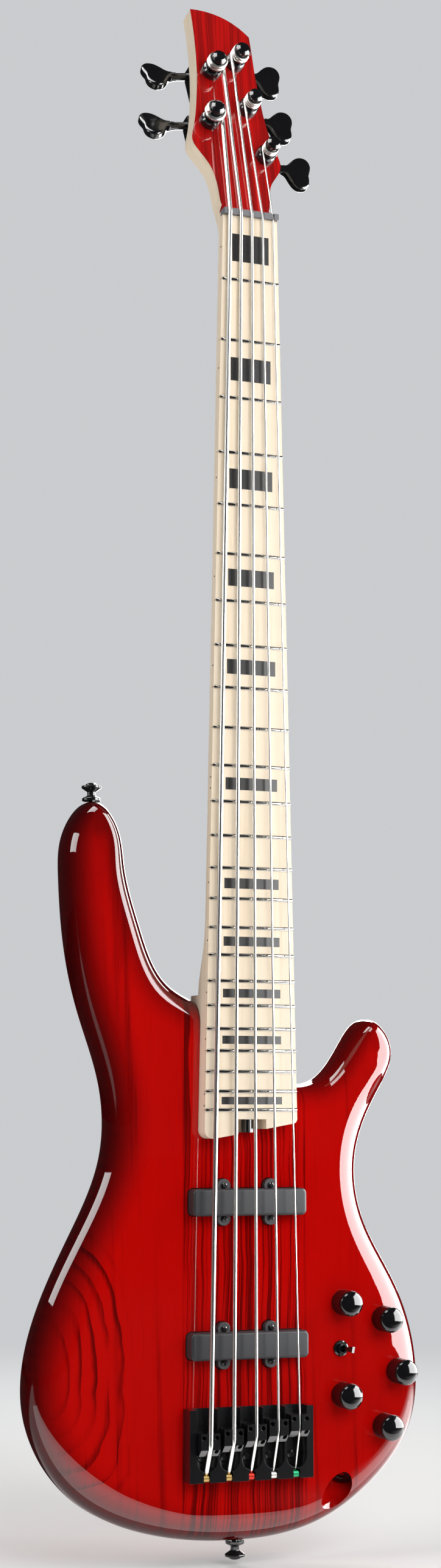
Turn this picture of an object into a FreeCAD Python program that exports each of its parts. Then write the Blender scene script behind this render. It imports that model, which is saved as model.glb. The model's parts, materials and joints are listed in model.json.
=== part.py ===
import FreeCAD, Part
import math
import os
import re
import Sketcher

# A five-string bass guitar standing upright. X runs to the treble side, Z up the neck, and the face
# looks along -Y. The origin lies on the back of the body, on the centre line, level with the bridge
# end of the scale. Heights above the back of the body are therefore -Y.

Vector = FreeCAD.Vector
Rotation = FreeCAD.Rotation
Placement = FreeCAD.Placement

# Driving dimensions, in millimetres and degrees
SIZES = {
    # scale and strings, counted from the lowest string
    "scale_length": 863.6,
    "fret_count": 24,
    "nut_spread": 34.0,
    "bridge_spread": 66.0,
    "string_1_diameter": 3.3,
    "string_2_diameter": 2.67,
    "string_3_diameter": 2.16,
    "string_4_diameter": 1.65,
    "string_5_diameter": 1.14,
    "nut_action": 1.6,
    "bridge_action": 5.4,
    "string_clearance": 0.25,
    "string_bend_radius": 9.0,
    # body
    "body_thickness": 40.0,
    "front_roll_depth": 20.0,
    "back_roll_depth": 14.0,
    "fit_gap": 0.2,
    # neck and fingerboard
    "nut_width": 42.5,
    "last_fret_width": 69.0,
    "board_radius": 305.0,
    "board_thickness": 6.0,
    "board_crown": 54.5,
    "board_end_bass": 195.0,
    "board_end_treble": 207.0,
    "end_round_bass": 6.0,
    "end_round_treble": 3.5,
    "heel_floor": 20.0,
    "heel_end": 296.0,
    "heel_sweep": 50.0,
    "neck_depth_nut": 20.0,
    "neck_depth_octave": 22.0,
    "nut_length": 4.5,
    "nut_crown": 1.1,
    "fret_width": 2.7,
    "fret_height": 1.1,
    "fret_inset": 0.4,
    "tang_width": 0.6,
    "tang_depth": 2.0,
    "slot_depth": 4.4,
    "inlay_depth": 2.6,
    "inlay_share": 0.66,
    "inlay_least": 4.0,
    "inlay_growth": 0.0072,
    "dot_radius": 1.1,
    "dot_length": 2.5,
    "dot_drop": 3.8,
    "dot_pair_pitch": 8.0,
    # truss rod
    "truss_radius": 2.6,
    "truss_drop": 4.0,
    "truss_margin": 13.6,
    "truss_end_gap": 1.0,
    "truss_gap": 0.1,
    "truss_nut_radius": 4.4,
    "truss_nut_length": 9.0,
    "truss_socket_radius": 2.0,
    "notch_width": 21.0,
    "notch_end": 209.5,
    "notch_depth": 10.5,
    # headstock
    "head_tilt": 10.0,
    "head_setback": 2.4,
    "head_waist": 1.5,
    "head_face": 46.0,
    "head_thickness": 15.5,
    # tuners, with heights above the headstock face
    "bushing_radius": 7.5,
    "bushing_height": 7.0,
    "sleeve_radius": 6.0,
    "shaft_radius": 4.0,
    "running_gap": 0.06,
    "post_radius": 4.5,
    "post_floor": 7.3,
    "post_flange_radius": 5.6,
    "post_flange": 1.0,
    "post_cap": 18.2,
    "post_cap_radius": 5.4,
    "post_top": 21.5,
    "wrap_gap": 0.55,
    "gear_teeth": 20,
    "gear_module": 0.65,
    "gear_width": 3.4,
    "gear_drop": 6.5,
    "worm_pitch_radius": 2.5,
    "worm_length": 11.0,
    "tooth_height": 0.55,
    "tooth_root": 0.78,
    "tooth_width": 0.75,
    "thread_width": 0.6,
    "key_shaft_radius": 1.7,
    "key_sweep": 9.0,
    "key_reach": 22.0,
    "collar_radius": 3.3,
    "collar_length": 3.0,
    "key_sleeve_radius": 2.9,
    "button_length": 22.5,
    "button_width": 28.5,
    "button_thickness": 7.0,
    "button_neck": 6.4,
    "button_edge": 2.2,
    "housing_width": 18.0,
    "housing_depth": 12.5,
    "housing_wall": 1.2,
    "housing_low": 9.5,
    "housing_high": 14.0,
    "plate_length": 15.5,
    "plate_thickness": 2.0,
    "tuner_screw_drop": 12.6,
    "tuner_screw_radius": 1.2,
    "tuner_screw_length": 10.0,
    # bridge
    "bridge_width": 91.0,
    "bridge_front": 13.5,
    "bridge_rear": 35.0,
    "bridge_height": 13.0,
    "bridge_floor": 2.5,
    "well_width": 15.0,
    "well_rear": 28.0,
    "slot_room": 0.7,
    "ball_place": 32.0,
    "ball_height": 49.5,
    "ball_radius": 2.8,
    "ball_length": 4.0,
    "bridge_screw_place": 20.2,
    "bridge_screw_length": 22.0,
    "saddle_width": 14.0,
    "saddle_front": 8.5,
    "saddle_back": 7.0,
    "saddle_lift": 0.5,
    "saddle_cheek": 1.2,
    "saddle_first": 10.0,
    "saddle_step": 2.5,
    "saddle_relief_front": 1.0,
    "saddle_relief_back": 3.8,
    "saddle_crest": 1.5,
    "saddle_clearance": 0.35,
    "saddle_bevel": 4.5,
    "grub_radius": 1.5,
    "grub_gap": 0.05,
    "grub_side": 4.7,
    "grub_front": 5.6,
    "lock_back": 3.6,
    # pickups
    "neck_pickup_length": 84.5,
    "bridge_pickup_length": 87.0,
    "pickup_width": 18.6,
    "pickup_height": 11.3,
    "pickup_body_depth": 12.0,
    "pickup_wall": 1.8,
    "pickup_corner": 3.5,
    "pickup_edge": 1.8,
    "neck_pickup_place": 152.5,
    "bridge_pickup_place": 55.0,
    "ear_side": 17.5,
    "ear_radius": 4.7,
    "ear_reach": 11.3,
    "ear_height": 5.0,
    "pickup_gap": 0.5,
    "pickup_pocket": 20.0,
    "coil_gap": 0.3,
    "coil_width": 6.4,
    "magnet_width": 2.4,
    "coil_floor": 3.0,
    "pickup_screw_radius": 1.4,
    "pickup_screw_head": 2.0,
    "pickup_screw_head_height": 1.8,
    "pickup_screw_length": 28.0,
    "foam_height": 7.5,
    # controls
    "cavity_roof": 34.0,
    "cavity_corner": 9.0,
    "cover_thickness": 2.2,
    "cover_ledge": 4.4,
    "cover_gap": 0.25,
    "cover_screw_radius": 1.0,
    "cover_screw_length": 12.0,
    "cover_screw_sink": 1.1,
    "pot_radius": 8.0,
    "pot_depth": 8.5,
    "pot_wall": 1.0,
    "bushing_thread_radius": 3.6,
    "bushing_rise": 2.6,
    "panel_nut_radius": 5.4,
    "panel_nut_height": 2.0,
    "knob_radius": 8.9,
    "knob_height": 19.0,
    "knob_skirt": 14.0,
    "knob_dome_radius": 5.8,
    "knob_lift": 0.6,
    "knob_recess_radius": 6.2,
    "knob_recess": 3.4,
    "knob_shaft_radius": 3.0,
    "knob_shaft_length": 21.5,
    "toggle_across": 72.0,
    "toggle_up": 50.0,
    "toggle_box_width": 13.0,
    "toggle_box_length": 12.0,
    "toggle_box_depth": 9.5,
    "toggle_thread_radius": 3.2,
    "toggle_bore_radius": 2.4,
    "toggle_rise": 5.0,
    "toggle_pivot": 1.5,
    "toggle_ball_radius": 2.0,
    "toggle_pin_radius": 0.8,
    "toggle_pin_length": 6.2,
    "toggle_lever_length": 14.5,
    "toggle_lever_width": 4.2,
    "toggle_lever_thickness": 2.0,
    "toggle_throw": 12.0,
    "board_thickness_preamp": 1.6,
    "battery_length": 48.5,
    "battery_width": 26.5,
    "battery_thickness": 17.5,
    # output jack
    "jack_scoop_radius": 9.3,
    "jack_scoop_depth": 15.0,
    "jack_flange_radius": 8.4,
    "jack_flange": 2.5,
    "jack_barrel_radius": 6.0,
    "jack_length": 30.0,
    "jack_bore_radius": 3.2,
    "jack_bore_depth": 25.0,
    "jack_approach": 30.0,
    "jack_room": 8.0,
    "jack_lead_start": 7.0,
    # strap buttons
    "strap_head_radius": 7.0,
    "strap_waist_radius": 3.0,
    "strap_base_radius": 6.6,
    "strap_base": 2.0,
    "strap_length": 10.8,
    "strap_rim": 1.6,
    "strap_screw_radius": 2.0,
    "strap_screw_length": 36.0,
    "strap_seat": 0.5,
    # neck bolts
    "bolt_radius": 2.5,
    "bolt_head_radius": 4.4,
    "bolt_head": 3.0,
    "bolt_length": 36.0,
    "ferrule_radius": 7.0,
    "ferrule_depth": 5.0,
    "ferrule_wall": 2.0,
    # wiring
    "wire_radius": 1.1,
    "channel_radius": 3.0,
    # how far a cutting tool reaches past the face it opens
    "overcut": 1.0,
}

# Outline of the body, clockwise seen from the front: across, up, then the width of the edge roll on the
# front and on the back at that point
BODY_OUTLINE = [
    (0, -79, 18, 9),
    (-63, -72, 20, 9),
    (-122, -43, 26, 10),
    (-152, 12, 28, 10),
    (-145.5, 72, 28, 12),
    (-119.5, 131, 22, 17),
    (-99, 182, 18, 24),
    (-99.5, 234, 16, 24),
    (-115, 284, 15, 15),
    (-126, 335, 14, 11),
    (-129.5, 380, 12, 10),
    (-124.5, 415, 11, 9),
    (-108, 431.3, 10, 8),
    (-92.5, 417, 10, 9),
    (-85, 385, 12, 10),
    (-74, 345, 13, 12),
    (-53, 304, 15, 14),
    (-13, 281, 16, 15),
    (29, 238, 16, 15),
    (57, 235.5, 14, 13),
    (83, 261, 13, 10),
    (103, 281, 10, 9),
    (118, 265, 11, 9),
    (108, 228, 15, 10),
    (91, 184, 18, 11),
    (96, 141, 18, 9),
    (121, 94, 19, 7.5),
    (137, 40, 19, 7.5),
    (131, -8, 19, 7.5),
    (102, -44, 18, 8),
    (56, -71, 18, 9),
]
ROLL_STEPS = 4
STRETCH_POINTS = 3
SECTION_STEPS = 10
BLEND_STEPS = 5
HEAD_BLEND = 15.0
HEEL_SQUARENESS = 4.0
NECK_SQUARENESS = 2.4
HEAD_SQUARENESS = 8.0

# Outline of the headstock face: across, and along the face from its foot, which grows out of the neck
HEAD_BASS_SIDE = [
    (-13, 0), (-16.9, 5.5), (-19.3, 11), (-20, 16), (-21.3, 27), (-25.3, 40), (-33, 51),
    (-38.2, 60), (-36.6, 72), (-33.2, 92), (-31.3, 114), (-30.9, 137), (-31.6, 155), (-33, 173),
]
HEAD_TOP = [(-33, 173), (-19, 172.6), (-4, 168.5), (7, 162), (13.3, 156.5)]
HEAD_TREBLE_SIDE = [
    (13.3, 156.5), (14.3, 145), (15.4, 128), (18.6, 100), (23, 75.5), (29.2, 57), (31, 48.5),
    (28.2, 40.5), (22.3, 31), (20, 16), (19.3, 11), (16.9, 5.5), (13, 0),
]

# Each tuner in string order: across, along the headstock face, key side, turns of string on its post, and
# how far its button is turned about its shaft
TUNERS = [
    (-24, 78, -1, 1.5, -28),
    (-19.9, 121, -1, 2.0, -26),
    (-0.5, 131.4, 1, 2.5, -5),
    (7, 93.2, 1, 3.0, -8),
    (18.7, 54.8, 1, 3.5, -4),
]
# Upper half of a key button from its neck to the dip in its end: along and across, as shares
BUTTON_HALF = [
    (0.1, 0.26), (0.21, 0.44), (0.34, 0.72), (0.48, 0.92), (0.63, 1), (0.79, 0.97), (0.92, 0.8),
    (0.985, 0.52), (0.975, 0.24), (0.955, 0),
]

INLAY_FRETS = (1, 3, 5, 7, 9, 12, 15, 17, 19, 21, 24)
PAIRED_DOT_FRETS = (12, 24)
KNOBS = [(74, 81.5), (105, 69.5), (116, 33), (73.5, 18), (105, -4.5)]
NECK_BOLTS = [(-22, 216), (22, 214), (-22, 266), (6, 244)]
CAVITY_CORNERS = [(61, 94), (89, 94), (117, 76), (124.5, 48), (124.5, 12), (111, -15), (61, -15)]
COVER_SCREWS = [(58.8, 72), (77, 96.2), (126.7, 30), (76, -17.2), (58.8, 8)]
BATTERY_CORNER = (64, 20)
PREAMP_CORNER = (95, 0)
PREAMP_SPAN = (20, 64)
# Parts on the preamp board: across, up, width, height and length
PREAMP_CHIPS = [(99, 12, 6, 3, 8), (99, 28, 6, 3, 8), (108, 46, 5, 7, 5), (108, 14, 5, 7, 5)]
JACK_MOUTH = Vector(70, -38, -47)
jack_axis = Vector(0.43, 0.57, 0.70).normalize()

# Routes of the wires from the pickups, the jack and the battery into the control cavity: across, height, up.
# The jack's lead first leaves the jack along its axis.
WIRE_ROUTES = {
    "neck_pickup_lead": [(40, 22.6, 150), (73, 22.6, 89.6), (93, 22.4, 76)],
    "bridge_pickup_lead": [(40, 22.6, 55), (64, 22.6, 47.8), (94, 22.2, 44)],
    "jack_lead": [(95.5, 20.5, 6), (96, 22.5, 18)],
    "battery_lead": [(77, 12, 69), (78, 14, 78), (86, 20, 82), (94, 22, 70)],
}
WIRE_CHANNELS = [((40, 22.6, 150), (75, 22.6, 86)), ((40, 22.6, 55), (70, 22.6, 46))]

# Shares: half widths of a tooth at its root and tip, and the part of a wire's run that its bend takes
FLANK_ROOT, FLANK_TIP = 0.8, 0.3
BEND_SHARE = 0.45
# How far the worm's thread is set into its core
THREAD_BITE = 0.2
# Tolerances
NEARLY = 0.99
CLOSE = 0.01

FRONT = Vector(0, -1, 0)
BACK = Vector(0, 1, 0)
UP = Vector(0, 0, 1)
DOWN = Vector(0, 0, -1)

doc = FreeCAD.newDocument("FiveStringBass")
sheet = doc.addObject("Spreadsheet::Sheet", "Sizes")
for row, (alias, number) in enumerate(SIZES.items(), start=1):
    sheet.set("A%d" % row, alias)
    sheet.set("B%d" % row, str(number))
    sheet.setAlias("B%d" % row, alias)
doc.recompute()

pieces = []


def size(alias):
    """The value of one driving dimension."""
    return float(sheet.get(alias))


def bound(text):
    """An expression in which every driving dimension is read from the sheet."""
    return re.sub(r"[a-z][a-z_0-9]*", lambda word: "Sizes." + word.group(0), text)


def value(text):
    """The present value of such an expression."""
    return float(sheet.evalExpression(bound(text)))


def bind(thing, **sizes):
    """Tie properties of an object to expressions."""
    for name, text in sizes.items():
        thing.setExpression(name, bound(text))
    return thing


def spot(across, height, up):
    """A point given by its place across, its height above the back and its place up the neck."""
    return Vector(across, -height, up)


def place(across, height, up, axis=UP):
    """A placement at such a point that turns local Z to the axis."""
    return Placement(spot(across, height, up), Rotation(UP, axis))


def piece(thing, label):
    """Name a finished sub-part."""
    thing.Label = label
    pieces.append(thing)
    return thing


def feature(name, shape, placement=None):
    """A solid made from a shape."""
    thing = doc.addObject("Part::Feature", name)
    thing.Shape = shape
    if placement is not None:
        thing.Placement = placement
    return thing


def group(label, template, placements):
    """Identical pieces as separate solids in one node."""
    doc.recompute()
    copies = []
    for placement in placements:
        copy = template.Shape.copy()
        copy.Placement = placement.multiply(template.Placement)
        copies.append(copy)
    return piece(feature(label, Part.makeCompound(copies)), label)


def block(name, width, depth, length, across, height, up):
    """A box whose lowest corner is at the given place; its depth runs towards the face."""
    thing = bind(doc.addObject("Part::Box", name), Length=width, Width=depth, Height=length)
    thing.Placement = Placement(spot(across, height + value(depth), up), Rotation())
    return thing


def rod(name, radius, length, placement):
    """A cylinder along the placement's local Z."""
    thing = bind(doc.addObject("Part::Cylinder", name), Radius=radius, Height=length)
    thing.Placement = placement
    return thing


def compound(name, things):
    thing = doc.addObject("Part::Compound", name)
    thing.Links = things
    return thing


def fuse(name, things):
    thing = doc.addObject("Part::MultiFuse", name)
    thing.Shapes = things
    return thing


def cut(name, base, tools):
    """The base less all the tools."""
    thing = doc.addObject("Part::Cut", name)
    thing.Base = base
    thing.Tool = tools[0] if len(tools) == 1 else fuse(name + "_tools", tools)
    return thing


def profile(body, role, points):
    """A closed sketch of straight runs through points that are given as expressions."""
    sketch = body.newObject("Sketcher::SketchObject", body.Name + "_profile")
    plane = next(item for item in body.Origin.OriginFeatures if item.Role == role)
    sketch.AttachmentSupport = [(plane, "")]
    sketch.MapMode = "FlatFace"
    spots = [Vector(value(across), value(along), 0) for across, along in points]
    for number, start in enumerate(spots):
        sketch.addGeometry(Part.LineSegment(start, spots[(number + 1) % len(spots)]), False)
    for number, texts in enumerate(points):
        before = (number - 1) % len(points)
        sketch.addConstraint(Sketcher.Constraint("Coincident", before, 2, number, 1))
        for kind, axis, text in zip(("DistanceX", "DistanceY"), (-2, -1), texts):
            if text == "0":
                sketch.addConstraint(Sketcher.Constraint("PointOnObject", number, 1, axis))
                continue
            index = sketch.addConstraint(Sketcher.Constraint(kind, -1, 1, number, 1, value(text)))
            sketch.setExpression("Constraints[%d]" % index, bound(text))
    return sketch


def prism(name, points, length, placement=None):
    """A body with straight sides, drawn on the face and raised towards the front."""
    body = doc.addObject("PartDesign::Body", name)
    pad = body.newObject("PartDesign::Pad", name + "_pad")
    pad.Profile = profile(body, "XZ_Plane", points)
    bind(pad, Length=length)
    if placement is not None:
        body.Placement = placement
    doc.recompute()
    return body


def turned(name, points, placement=None):
    """A body of revolution about local Z, from radius and height."""
    body = doc.addObject("PartDesign::Body", name)
    sketch = profile(body, "XZ_Plane", points)
    turn = body.newObject("PartDesign::Revolution", name + "_turn")
    turn.Profile = sketch
    turn.ReferenceAxis = (sketch, ["V_Axis"])
    turn.Angle = 360
    if placement is not None:
        body.Placement = placement
    doc.recompute()
    return body


def rounded(body, radius, chosen):
    """Round the edges of a body's last feature that the test chooses."""
    base = body.Tip
    edges = ["Edge%d" % number for number, edge in enumerate(base.Shape.Edges, start=1) if chosen(edge)]
    fillet = body.newObject("PartDesign::Fillet", body.Name + "_fillet")
    fillet.Base = (base, edges)
    bind(fillet, Radius=radius)
    doc.recompute()
    return body


def along_depth(edge):
    """Whether an edge is straight and runs from back to front."""
    return edge.Curve.TypeId == "Part::GeomLine" and abs(edge.tangentAt(edge.FirstParameter).y) > NEARLY


def screw(name, head_radius, head, shank_radius, length):
    """A screw along local Z with its head's seat at the origin and its shank below."""
    return turned(name, [
        ("0", "-%s" % length), (shank_radius, "-%s" % length), (shank_radius, "0"),
        (head_radius, "0"), (head_radius, "0.6 * %s" % head), ("0.6 * %s" % head_radius, head),
        ("0", head)])


# Places along the neck

def fret_up(number):
    """How far up a fret stands, in equal temperament."""
    return size("scale_length") * 2 ** (-number / 12)


def half_width(up):
    """Half the width of the fingerboard, which tapers from the last fret to the nut."""
    run = size("scale_length") - fret_up(size("fret_count"))
    return (size("nut_width") + (size("last_fret_width") - size("nut_width"))
            * (size("scale_length") - up) / run) / 2


def arch(across):
    """How far the fingerboard's crown falls at a place across."""
    return size("board_radius") - math.sqrt(size("board_radius") ** 2 - across ** 2)


overcut = size("overcut")
neck_top = size("board_crown") - size("board_thickness")
head_start = size("scale_length") + size("head_setback")
head_frame = Placement(spot(0, size("head_face"), head_start),
                       Rotation(Vector(1, 0, 0), -size("head_tilt")))


def spline(points):
    """An open curve through points."""
    curve = Part.BSplineCurve()
    curve.interpolate(points)
    return curve.toShape()


def closed_spline(points):
    """A smooth closed curve through points, as a list of short stretches."""
    curve = Part.BSplineCurve()
    curve.interpolate(points, PeriodicFlag=True)
    knots = curve.getKnots()
    ends = knots[:-1:STRETCH_POINTS] + knots[-1:]
    edges = []
    for start, end in zip(ends, ends[1:]):
        stretch = curve.copy()
        stretch.segment(start, end)
        edges.append(stretch.toShape())
    return edges


# The body

def body_blank():
    """Ruled bands between outlines at several heights, drawn in by the edge rolls on back and front."""
    flat = [Vector(across, 0, up) for across, up, front, back in BODY_OUTLINE]
    curve = Part.BSplineCurve()
    curve.interpolate(flat, PeriodicFlag=True)
    inward = []
    for point in flat:
        tangent = curve.tangent(curve.parameter(point))[0]
        inward.append(Vector(tangent.z, 0, -tangent.x).normalize())
    front_start = size("body_thickness") - size("front_roll_depth")
    levels = []
    for step in range(ROLL_STEPS + 1):
        turn = math.radians(90 * step / ROLL_STEPS)
        levels.append((size("back_roll_depth") * (1 - math.cos(turn)), 1 - math.sin(turn), 3))
    for step in range(ROLL_STEPS + 1):
        turn = math.radians(90 * step / ROLL_STEPS)
        levels.append((front_start + size("front_roll_depth") * math.sin(turn), 1 - math.cos(turn), 2))
    rings = []
    for height, share, column in levels:
        ring = [point + normal * (row[column] * share) + FRONT * height
                for point, normal, row in zip(flat, inward, BODY_OUTLINE)]
        rings.append(closed_spline(ring))
    faces = [Part.Face(Part.Wire(rings[0])), Part.Face(Part.Wire(rings[-1]))]
    for lower, upper in zip(rings, rings[1:]):
        faces += [Part.makeRuledSurface(low, high) for low, high in zip(lower, upper)]
    shell = Part.makeCompound(faces)
    shell.sewShape()
    return Part.Solid(shell.Shells[0])


def straight(points):
    """Expressions for the corners of an outline that is a plain list of places."""
    return [(str(across), str(up)) for across, up in points]


def neck_plan(name, end, gap, depth, height):
    """A block on the neck's plan, from its slanted end with two rounded corners to a place further up."""
    low, high = size("board_end_bass") - gap, size("board_end_treble") - gap
    corners = [(-half_width(low) - gap, low), (-half_width(end) - gap, end),
               (half_width(end) + gap, end), (half_width(high) + gap, high)]
    plan = prism(name, straight(corners), depth, place(0, height, 0))
    for (across, up), radius in ((corners[0], "end_round_bass"), (corners[-1], "end_round_treble")):
        corner = Vector(across, 0, up)
        rounded(plan, radius, lambda edge: along_depth(edge)
                and edge.distToShape(Part.Vertex(corner))[0] < CLOSE)
    return plan


def neck_pocket():
    """The socket for the heel, as wide as the neck with the fit gap all round."""
    open_end = size("heel_end") + size("heel_sweep")
    return neck_plan("neck_pocket", open_end, size("fit_gap"), "body_thickness", size("heel_floor"))


def pickup_pocket(name, length, up):
    """The route for a pickup and its four ears."""
    floor = size("body_thickness") - size("pickup_pocket")
    screw_end = size("body_thickness") + size("ear_height") - size("pickup_screw_length")
    main = block(name + "_main", length + " + 2 * pickup_gap", "pickup_pocket + overcut",
                 "pickup_width + 2 * pickup_gap", -value(length) / 2 - size("pickup_gap"), floor,
                 up - size("pickup_width") / 2 - size("pickup_gap"))
    ears = []
    for number, (across, offset) in enumerate(ear_places()):
        ears.append(rod("%s_ear_%d" % (name, number), "ear_radius + pickup_gap", "pickup_pocket + overcut",
                        place(across, floor, up + offset, FRONT)))
        ears.append(rod("%s_pilot_%d" % (name, number), "pickup_screw_radius + running_gap", "pickup_pocket",
                        place(across, screw_end - overcut, up + offset, FRONT)))
    return [main] + ears


def ear_places():
    """The four ears of a pickup about its centre."""
    return [(side * size("ear_side"), end * size("ear_reach")) for side in (-1, 1) for end in (-1, 1)]


def offset_outline(corners, distance):
    """Straight-sided outline moved outwards, for corners listed clockwise."""
    moved = []
    count = len(corners)
    for number in range(count):
        before, here, after = (Vector(*corners[(number + shift) % count], 0) for shift in (-1, 0, 1))
        first = (here - before).normalize()
        second = (after - here).normalize()
        out = Vector(-first.y - second.y, first.x + second.x, 0).normalize()
        reach = distance / out.dot(Vector(-first.y, first.x, 0))
        moved.append((here.x + out.x * reach, here.y + out.y * reach))
    return moved


def body_tools():
    """Everything that is cut from the body."""
    tools = [neck_pocket()]
    tools += pickup_pocket("neck_route", "neck_pickup_length", size("neck_pickup_place"))
    tools += pickup_pocket("bridge_route", "bridge_pickup_length", size("bridge_pickup_place"))
    cavity = prism("control_cavity", straight(CAVITY_CORNERS), "cavity_roof + overcut", place(0, -overcut, 0))
    tools.append(rounded(cavity, "cavity_corner", along_depth))
    ledge = offset_outline(CAVITY_CORNERS, size("cover_ledge") + size("cover_gap"))
    recess = prism("cover_recess", straight(ledge), "cover_thickness + overcut", place(0, -overcut, 0))
    tools.append(rounded(recess, "cavity_corner + cover_ledge", along_depth))
    for number, (across, up) in enumerate(KNOBS):
        tools.append(rod("pot_hole_%d" % number, "bushing_thread_radius + fit_gap", "body_thickness",
                         place(across, size("cavity_roof") - overcut, up, FRONT)))
    tools.append(rod("toggle_hole", "toggle_thread_radius + fit_gap", "body_thickness",
                     place(size("toggle_across"), size("cavity_roof") - overcut, size("toggle_up"), FRONT)))
    tools.append(rod("jack_scoop", "jack_scoop_radius", "jack_scoop_depth + jack_approach",
                     along_jack(-size("jack_approach"))))
    tools.append(rod("jack_hole", "jack_barrel_radius + fit_gap", "jack_length + jack_room",
                     along_jack(size("jack_scoop_depth") - overcut)))
    for number, (across, up) in enumerate(NECK_BOLTS):
        tools.append(rod("bolt_hole_%d" % number, "bolt_radius + fit_gap", "heel_floor + 2 * overcut",
                         place(across, -overcut, up, FRONT)))
        tools.append(rod("ferrule_hole_%d" % number, "ferrule_radius + running_gap",
                         "ferrule_depth + overcut", place(across, -overcut, up, FRONT)))
    low = size("body_thickness") - size("bridge_screw_length") + overcut
    for number in range(5):
        tools.append(rod("bridge_pilot_%d" % number, "grub_radius + running_gap", "bridge_screw_length",
                         place(string_across(number, 0), low, -size("bridge_screw_place"), FRONT)))
    for number, (across, up) in enumerate(COVER_SCREWS):
        tools.append(rod("cover_pilot_%d" % number, "cover_screw_radius + running_gap",
                         "cover_screw_sink + cover_screw_length + overcut",
                         place(across, 0, up, FRONT)))
    for number, placement in enumerate(strap_places()):
        inward = placement.multiply(Placement(Vector(0, 0, -size("strap_screw_length")), Rotation()))
        tools.append(rod("strap_pilot_%d" % number, "strap_screw_radius + running_gap",
                         "strap_screw_length + overcut", inward))
    for number, (start, end) in enumerate(WIRE_CHANNELS):
        run = spot(*end) - spot(*start)
        channel = rod("wire_channel_%d" % number, "channel_radius", "channel_radius",
                      Placement(spot(*start), Rotation(UP, run)))
        channel.setExpression("Height", None)
        channel.Height = run.Length
        tools.append(channel)
    return tools


def along_jack(depth):
    """A placement on the jack's axis at a depth from the mouth of its scoop."""
    return Placement(JACK_MOUTH + jack_axis * depth, Rotation(UP, jack_axis))


def strap_places():
    """Seats of the two strap buttons, with local Z pointing away from the body."""
    height = size("body_thickness") - size("front_roll_depth")
    tail, horn = (choose(BODY_OUTLINE, key=lambda row: row[1]) for choose in (min, max))
    gap = size("strap_seat")
    return [place(horn[0], height, horn[1] + gap, UP), place(tail[0], height, tail[1] - gap, DOWN)]


def make_body():
    blank = feature("body_blank", body_blank())
    piece(cut("body_cut", blank, body_tools()), "body")


# The neck with its headstock

def smooth(start, end, share):
    """A blend that leaves and arrives level."""
    share = min(1, max(0, share))
    return start + (end - start) * share * share * (3 - 2 * share)


def neck_back(up):
    """Height of the neck's back: deep at the heel, thin along the neck, deep again into the headstock."""
    octave = size("scale_length") / 2
    thin = size("neck_depth_nut") + (size("neck_depth_octave") - size("neck_depth_nut")) * (
        size("scale_length") - up) / octave
    back = size("board_crown") - thin
    back = smooth(size("heel_floor"), back, (up - size("heel_end")) / size("heel_sweep"))
    fall = HEAD_BLEND * math.tan(math.radians(size("head_tilt")))
    head_back = size("head_face") - size("head_thickness") - fall
    return smooth(back, head_back, (up - head_start + HEAD_BLEND) / (2 * HEAD_BLEND))


def neck_section(up):
    """Flat top and a rounded back whose corners are squarer at the heel and at the headstock."""
    behind_nut = up - size("scale_length") - size("nut_length")
    wide = half_width(min(up, size("scale_length")))
    wide -= smooth(0, size("head_waist"), 2 * behind_nut / HEAD_BLEND)
    deep = neck_top - neck_back(up)
    power = smooth(HEEL_SQUARENESS, NECK_SQUARENESS, (up - size("heel_end")) / size("heel_sweep"))
    power = smooth(power, HEAD_SQUARENESS, (up - head_start + HEAD_BLEND) / (2 * HEAD_BLEND))
    points = []
    for step in range(SECTION_STEPS + 1):
        turn = math.pi * step / SECTION_STEPS
        side = math.copysign(abs(math.cos(turn)) ** (2 / power), math.cos(turn))
        points.append(spot(wide * side, neck_top - deep * math.sin(turn) ** (2 / power), up))
    return Part.Wire([spline(points), Part.makeLine(points[-1], points[0])])


def head_slab(thickness):
    """The headstock's outline with its thickness behind the face."""
    edges = [spline([Vector(across, 0, along) for across, along in side])
             for side in (HEAD_BASS_SIDE, HEAD_TOP, HEAD_TREBLE_SIDE)]
    edges.append(Part.makeLine(edges[-1].Vertexes[-1].Point, edges[0].Vertexes[0].Point))
    slab = Part.Face(Part.Wire(edges)).extrude(Vector(0, thickness, 0))
    slab.Placement = head_frame
    return slab


def neck_stations():
    """Places of the neck's sections, close together where the back bends."""
    heel, sweep = size("heel_end"), size("heel_sweep")
    start = head_start - HEAD_BLEND
    stations = [heel + sweep * step / BLEND_STEPS for step in range(BLEND_STEPS + 1)]
    stations += [start + 2 * HEAD_BLEND * step / BLEND_STEPS for step in range(BLEND_STEPS + 1)]
    return stations


def heel_block():
    """The straight-sided end of the neck that sits in the body's pocket."""
    plan = neck_plan("heel_plan", size("heel_end"), 0, "board_crown - board_thickness - heel_floor",
                     size("heel_floor"))
    return plan.Shape


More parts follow.
